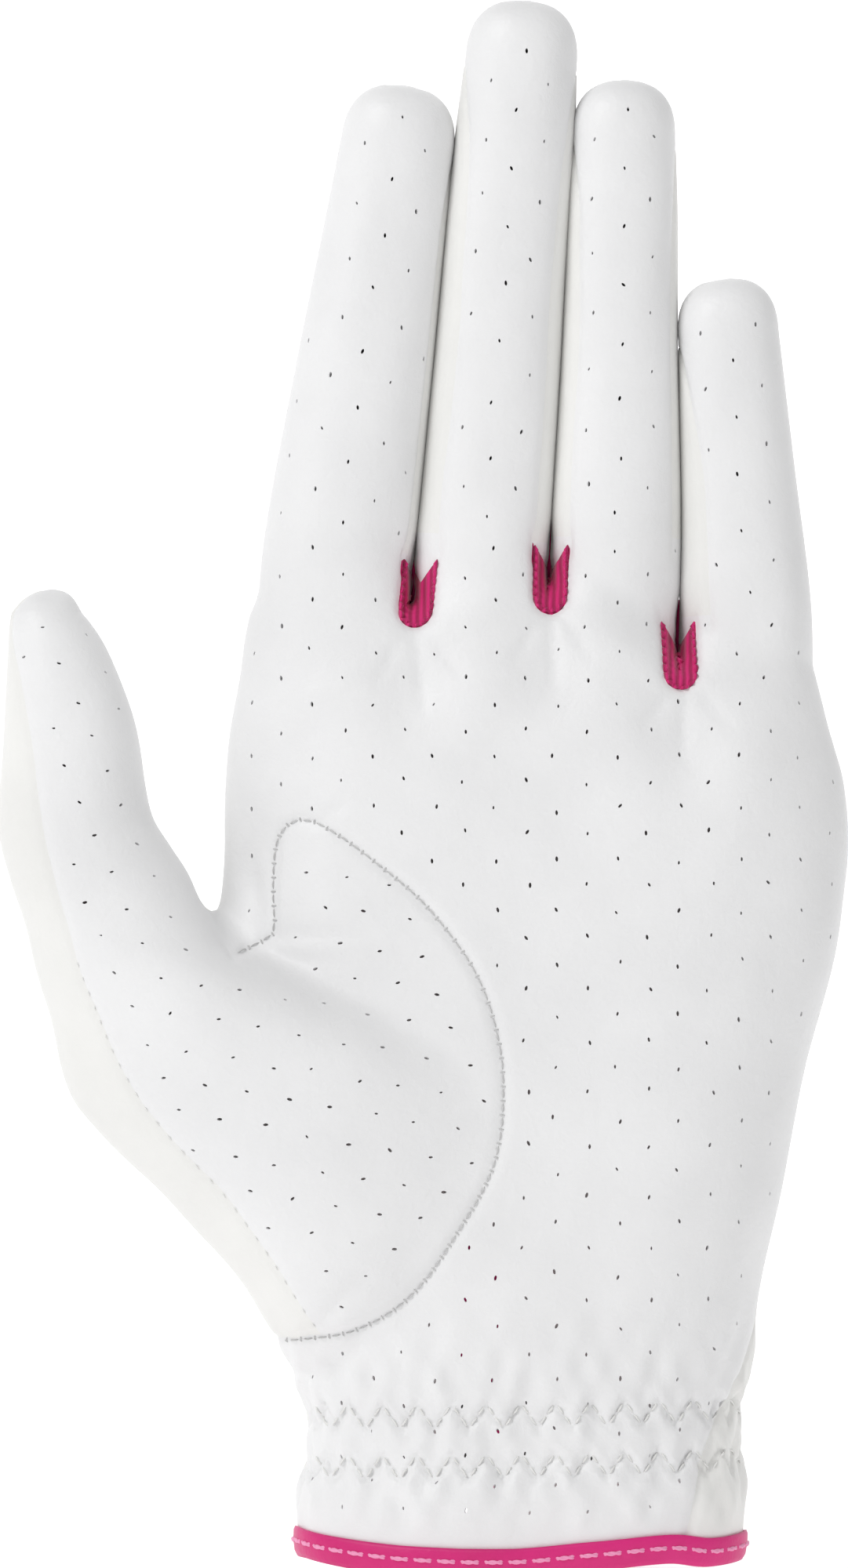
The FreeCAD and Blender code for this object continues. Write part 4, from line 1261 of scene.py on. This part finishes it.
def make_binding(kind, name, node, height):
    """A folded binding over the leather's edge, with its path and frames."""
    path = smoothed(even_steps(open_edge(kind), 0.9), 4)
    normals, inward = edge_frames(path)
    binding = swept(path, normals, inward, binding_profile(height))
    soft_object(name, *binding, pink_binding, "binding", nodes=[node])
    return path, normals, inward


def make_running_stitches(path, normals, inward, height, name, node):
    """Two-strand stitches along the outside of the hem's binding."""
    line = even_steps(path + inward * height + normals * 0.74, RUNNING_PITCH / RUNNING_STEPS)
    outward = np.array([nearest_normal(point) for point in line])
    share = np.linspace(0, 1, RUNNING_STEPS - 1)
    arch = 0.22 * np.sin(math.pi * share) - 0.12
    parts = []
    for start in range(6, len(line) - RUNNING_STEPS - 1, RUNNING_STEPS):
        here = np.arange(start, start + RUNNING_STEPS - 1)
        for strand in (0, 1):
            twist = strand * math.pi + share * 2.2 * math.pi
            strand_path = line[here] + outward[here] * (arch + 0.09 * np.sin(twist))[:, None]
            strand_path[:, 2] += 0.13 * np.cos(twist)
            parts.append(tube(strand_path, RUNNING_STRAND))
    soft_object(name, *joined(parts), pink_thread, "pink_thread", nodes=[node])


hem = make_binding("hem", "cuff_binding_tape", "cuff_binding", HEM_BINDING_HEIGHT)
make_running_stitches(*hem, HEM_BINDING_HEIGHT / 2, "binding_stitching_thread", "binding_stitching")
make_binding("slit", "slit_binding_tape", "slit_binding", SLIT_BINDING_HEIGHT)


# ---------------------------------------------------------------- seams sewn with thread

def stitch(start, end, radius, lift=0.18, shares=(0, 1), steps=4):
    """One stitch on the palm side over part of a line from (x, z) to (x, z).

    It rises from the leather, lies on it and goes back in.
    """
    start = np.array(start, float)
    run = np.array(end, float) - start
    path = []
    for step in range(steps + 1):
        share = step / steps
        hit = locate(*(start + run * (shares[0] + (shares[1] - shares[0]) * share)))
        if hit is None:
            return None
        path.append(hit[0] + hit[1] * lift * (math.sin(math.pi * share) * 1.6 - 0.6))
    return tube(path, radius)


def make_thumb_seam():
    """Short grey stitches on the palm, each with a small knot at its end."""
    line = even_steps(palm_seam_line, 1.95)
    parts = []
    for start, end in zip(line, line[1:]):
        parts.append(stitch(start, end, 0.1, 0.24, shares=(0.12, 0.86)))
        across = 0.22 * np.array([start[1] - end[1], end[0] - start[0]])
        parts.append(stitch(end - across, end + across, 0.13, 0.28, steps=2))
    soft_object("thumb_seam_stitching_thread", *joined(parts), grey_thread, "white_thread",
                nodes=["thumb_seam_stitching"])


def make_inseam_dots():
    """Barely visible stitches beside the mound, where the thumb's back panel joins its palm-side panel."""
    heights = np.arange(34, 128, 2.0)
    left = curve(heights, THUMB_LEFT) + curve(heights, THUMB_BACK_INSET)
    root, up = digits["thumb"]["root"], digits["thumb"]["up"]
    line = list(zip(left, heights))
    parts = []
    for start, end in zip(line, line[1:]):
        if (np.array((start[0], root[1], start[1])) - root) @ up < -3:
            parts.append(stitch(start, end, 0.12, 0.12, shares=(0.3, 0.7), steps=2))
    soft_object("thumb_inseam_thread", *joined(parts), white_thread, "white_thread")


def make_zigzag(row, level):
    """Doubled zigzag stitches across the cuff, over the elastic."""
    corners = np.arange(-13, 14) * ZIGZAG_PITCH / 2
    line = list(zip(corners, zigzag_height(corners, row)))
    parts = []
    for start, end in zip(line, line[1:]):
        parts.append(stitch(start, end, 0.15, 0.22, shares=(0.12, 0.47)))
        parts.append(stitch(start, end, 0.15, 0.22, shares=(0.53, 0.9)))
    soft_object(f"{level}_zigzag_thread", *joined(parts), white_thread, "white_thread",
                nodes=[f"{level}_zigzag_stitching"])


def gusset_outline(number):
    """The sewn edge of a gusset on the palm side: from one point down round the foot to the other."""
    middle, bottom, slope = gusset_axis(number)
    side = np.linspace(GUSSET_POINT, GUSSET_HALF, 8)
    foot = np.linspace(0, math.pi, 10)[1:-1]
    across = np.concatenate([[-GUSSET_HALF] * 8, -GUSSET_HALF * np.cos(foot), [GUSSET_HALF] * 8])
    up = np.concatenate([side, GUSSET_HALF * (1 - np.sin(foot)), side[::-1]])
    return np.stack([middle + across + slope * (up - GUSSET_PIVOT), bottom + up], axis=1)


def make_gusset_edges():
    """Pink overcast stitches that make the gussets' edges scalloped."""
    for number in range(3):
        line = even_steps(gusset_outline(number), 1.15)
        parts = [stitch(start, end, 0.34, 0.34, shares=(-0.1, 1.1), steps=2)
                 for start, end in zip(line, line[1:])]
        soft_object(f"gusset_{number + 1}_edge_thread", *joined(parts), pink_knit, "knit")


make_thumb_seam()
make_inseam_dots()
make_zigzag(0, "lower")
make_zigzag(1, "upper")
make_gusset_edges()


# ---------------------------------------------------------------- elastic, patches and the closure tab

SOFT_EDGE = 1.5                # a sheet thins towards its edge over this width, mm


def end_heights(outline, x):
    """Lowest and highest point of an outline where it ends at x."""
    ending = outline[np.abs(outline[:, 0] - x) < 0.02]
    if len(ending) > 1:
        return [ending[:, 1].min(), ending[:, 1].max()]
    middle = outline[np.argmin(np.abs(outline[:, 0] - x)), 1]
    return [middle - 0.2, middle + 0.2]


def draped(outline, depth_at, thickness, cell=1.0, bulge=0.12):
    """A sheet with a rounded outline (x, z), its near face laid at a depth, swelling away from it."""
    low, high = outline[:, 0].min(), outline[:, 0].max()
    bottom, top = outline[:, 1].min(), outline[:, 1].max()
    columns = int((high - low) / cell) + 1
    rows = int((top - bottom) / cell) + 1
    grid = np.empty((columns, rows, 2))
    for k, x in enumerate(np.linspace(low, high, columns)):
        crossings = []
        for (ax, az), (bx, bz) in zip(outline, np.roll(outline, -1, axis=0)):
            if (ax > x) != (bx > x):
                crossings.append(az + (x - ax) / (bx - ax) * (bz - az))
        if len(crossings) < 2:
            crossings = end_heights(outline, x)
        grid[k, :, 0] = x
        grid[k, :, 1] = np.linspace(min(crossings), max(crossings), rows)
    x, z = grid[..., 0].ravel(), grid[..., 1].ravel()
    edge = np.minimum(np.abs(loop_distance(x, z, outline)), SOFT_EDGE) / SOFT_EDGE
    swell = bulge * np.sqrt(np.clip(1 - (1 - edge) ** 2, 0, 1))
    near = np.stack([x, depth_at(x, z), z], axis=1)
    far = near.copy()
    far[:, 1] += thickness * (0.7 + 0.3 * edge) + swell
    count = len(x)
    index = np.arange(count).reshape(columns, rows)
    faces = []
    for k in range(columns - 1):
        for m in range(rows - 1):
            a, b, c, d = index[k, m], index[k + 1, m], index[k + 1, m + 1], index[k, m + 1]
            faces.append((a, b, c, d))
            faces.append((a + count, d + count, c + count, b + count))
    rim = list(index[:, 0]) + list(index[-1, 1:]) + list(index[-2::-1, -1]) + list(index[0, -2:0:-1])
    for a, b in zip(rim, rim[1:] + rim[:1]):
        faces.append((b, a, a + count, b + count))
    return np.concatenate([near, far]), faces


def rounded_box(x0, z0, x1, z1, corners):
    """Outline of a rectangle with four corner radii: low left, low right, high right, high left."""
    centres = ((x0, z0, 1, 1), (x1, z0, -1, 1), (x1, z1, -1, -1), (x0, z1, 1, -1))
    line = []
    for number, ((x, z, right, up), radius) in enumerate(zip(centres, corners)):
        for step in range(9):
            angle = math.pi * (1 + number / 2) + step / 8 * math.pi / 2
            line.append((x + radius * (right + math.cos(angle)), z + radius * (up + math.sin(angle))))
    return np.array(line)


def hand_depth(x, z, side):
    """The hand's smooth surface, without its relief, on the palm (side -1) or on the back (side 1)."""
    low, high, near, far = (curve(z, keys) for keys in HAND)
    u = np.clip(np.abs(x - (low + high) / 2) / ((high - low) / 2), 0, 0.98)
    return (near + far) / 2 + side * (far - near) / 2 * (1 - u ** HAND_POWER) ** (1 / HAND_POWER)


TAB_LOW, TAB_HIGH = 15, 42
TAB_START, TAB_END = -23, 22
TAB_CORNERS = (1.5, 9, 9, 1.5)
TAB_INSET = 1.7                # of the stitching from the tab's edge
GUSSET_FOLD_DEPTH = 4.5
ELASTICS = {"lower": 13.2, "upper": 20.4}
ELASTIC_HALF, ELASTIC_HEIGHT = 15, 4.6


def tab_depth(x, z):
    """Inner face of the closure tab: sewn flat at its root, then over the patches."""
    return hand_depth(x, z, 1) + 0.15 + 2.35 * smoothstep(x, -17, -8)


def make_tab():
    tab = draped(rounded_box(TAB_START, TAB_LOW, TAB_END, TAB_HIGH, TAB_CORNERS), tab_depth, 1.3)
    tab = soft_object("closure_tab_leather", *tab, plain_leather, "leather", body=None, nodes=["closure_tab"])
    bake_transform(tab)


def make_patches():
    outline = rounded_box(3, 18, 18, 39, (2, 5, 5, 2))
    hook = draped(outline, lambda x, z: tab_depth(x, z) - 1.02, 0.8, bulge=0.02)
    soft_object("hook_patch_tape", *hook, hook_cloth, "hook_tape", body="closure_tab", nodes=["hook_patch"])
    outline = rounded_box(2, 17, 21, 40, (3, 3, 3, 3))
    loop = draped(outline, lambda x, z: hand_depth(x, z, 1) - 0.1, 0.95, bulge=0.05)
    soft_object("loop_patch_pile", *loop, loop_cloth, "loop_pile", nodes=["loop_patch"])


def make_tab_stitching():
    low, high, end = TAB_LOW + TAB_INSET, TAB_HIGH - TAB_INSET, TAB_END - TAB_INSET
    line = even_steps(rounded_box(-14 + TAB_INSET, low, end, high, (1, 7.3, 7.3, 1)), 2.4)
    parts = []
    for start, end in zip(line, line[1:]):
        if max(start[0], end[0]) < -11.5:
            continue
        path = []
        for share in (0.1, 0.35, 0.65, 0.9):
            x, z = start + (end - start) * share
            path.append((x, float(tab_depth(x, z)) + 1.42 + 0.1 * math.sin(math.pi * share), z))
        parts.append(tube(path, 0.17))
    soft_object("tab_stitching_thread", *joined(parts), white_thread, "white_thread", body="closure_tab",
                nodes=["tab_stitching"])


def make_gusset_webs():
    """The fold of each gusset between two fingers, which closes its slot."""
    for number in range(3):
        middle, bottom, slope = gusset_axis(number)
        outline = rounded_box(-1.7, 1.4, 1.7, 12.6, (1.4, 1.4, 0.9, 0.9))
        outline[:, 0] += middle + slope * (outline[:, 1] - GUSSET_PIVOT)
        outline[:, 1] += bottom
        web = draped(outline, lambda x, z: GUSSET_FOLD_DEPTH + 0 * x, 0.6, cell=0.5)
        soft_object(f"gusset_{number + 1}_web", *web, pink_knit, "knit")


def make_elastics():
    for level, bottom in ELASTICS.items():
        top = bottom + ELASTIC_HEIGHT
        outline = rounded_box(-ELASTIC_HALF, bottom, ELASTIC_HALF, top, (0.5, 0.5, 0.5, 0.5))
        band = draped(outline, lambda x, z: hand_depth(x, z, -1) + LEATHER + 1.3, 0.7, bulge=0.05)
        soft_object(f"{level}_elastic_band", *band, elastic_cloth, "elastic", nodes=[f"{level}_elastic_tape"])


make_tab()
make_patches()
make_tab_stitching()
make_gusset_webs()
make_elastics()


# ---------------------------------------------------------------- studio

FLOOR_Z = -0.001
CAMERA_PLACE = (-0.0134, -1.5, 0.110)
VIEW_DISTANCE, VIEW_HEIGHT = 1.502, 0.220      # the view is as high as the glove, at its middle
SENSOR = 24


def area_light(name, place, aim, energy, width):
    light = bpy.data.lights.new(name, "AREA")
    light.energy = energy
    light.size = width
    lamp = bpy.data.objects.new(name, light)
    bpy.context.collection.objects.link(lamp)
    lamp.location = place
    lamp.rotation_euler = (Vector(aim) - Vector(place)).to_track_quat("-Z", "Y").to_euler()


def make_cyclorama():
    """A pale floor that curves up into a wall behind the glove, in metres."""
    radius, wall, height, width = 1.0, 2.4, 3.5, 5.0
    profile = [(-3.0, 0.0), (wall - radius, 0.0)]
    for angle in np.arange(1, 17) / 16 * math.pi / 2:
        profile.append((wall - radius + radius * math.sin(angle), radius - radius * math.cos(angle)))
    profile.append((wall, height))
    points = [(side * width, y, z + FLOOR_Z) for y, z in profile for side in (-1, 1)]
    faces = [(2 * k, 2 * k + 1, 2 * k + 3, 2 * k + 2) for k in range(len(profile) - 1)]
    paper, _, _, shader = node_material("paper", (0.6, 0.6, 0.6), 0.9)
    shader.inputs["Emission Color"].default_value = (1, 1, 1, 1)
    shader.inputs["Emission Strength"].default_value = 0.6
    floor = new_object("floor", np.array(points) / MM, faces, paper)


def make_camera(scene):
    camera = bpy.data.objects.new("camera", bpy.data.cameras.new("camera"))
    bpy.context.collection.objects.link(camera)
    camera.location = CAMERA_PLACE
    camera.rotation_euler = (math.pi / 2, 0, 0)
    camera.data.sensor_fit = "VERTICAL"
    camera.data.sensor_height = SENSOR
    camera.data.lens = SENSOR * VIEW_DISTANCE / VIEW_HEIGHT
    scene.camera = camera


def make_studio():
    scene = bpy.context.scene
    scene.view_settings.view_transform = "Standard"
    make_camera(scene)
    make_cyclorama()
    area_light("key", (-0.8, -0.8, 1.2), (0, 0, 0.11), 9.7, 0.5)
    area_light("backdrop", (0, 1.0, 1.4), (0, 2.6, 0.2), 18, 1.2)
    world = bpy.data.worlds.new("studio")
    scene.world = world
    world.use_nodes = True
    world.node_tree.nodes["Background"].inputs["Color"].default_value = (1, 1, 1, 1)
    world.node_tree.nodes["Background"].inputs["Strength"].default_value = 0.5


make_studio()
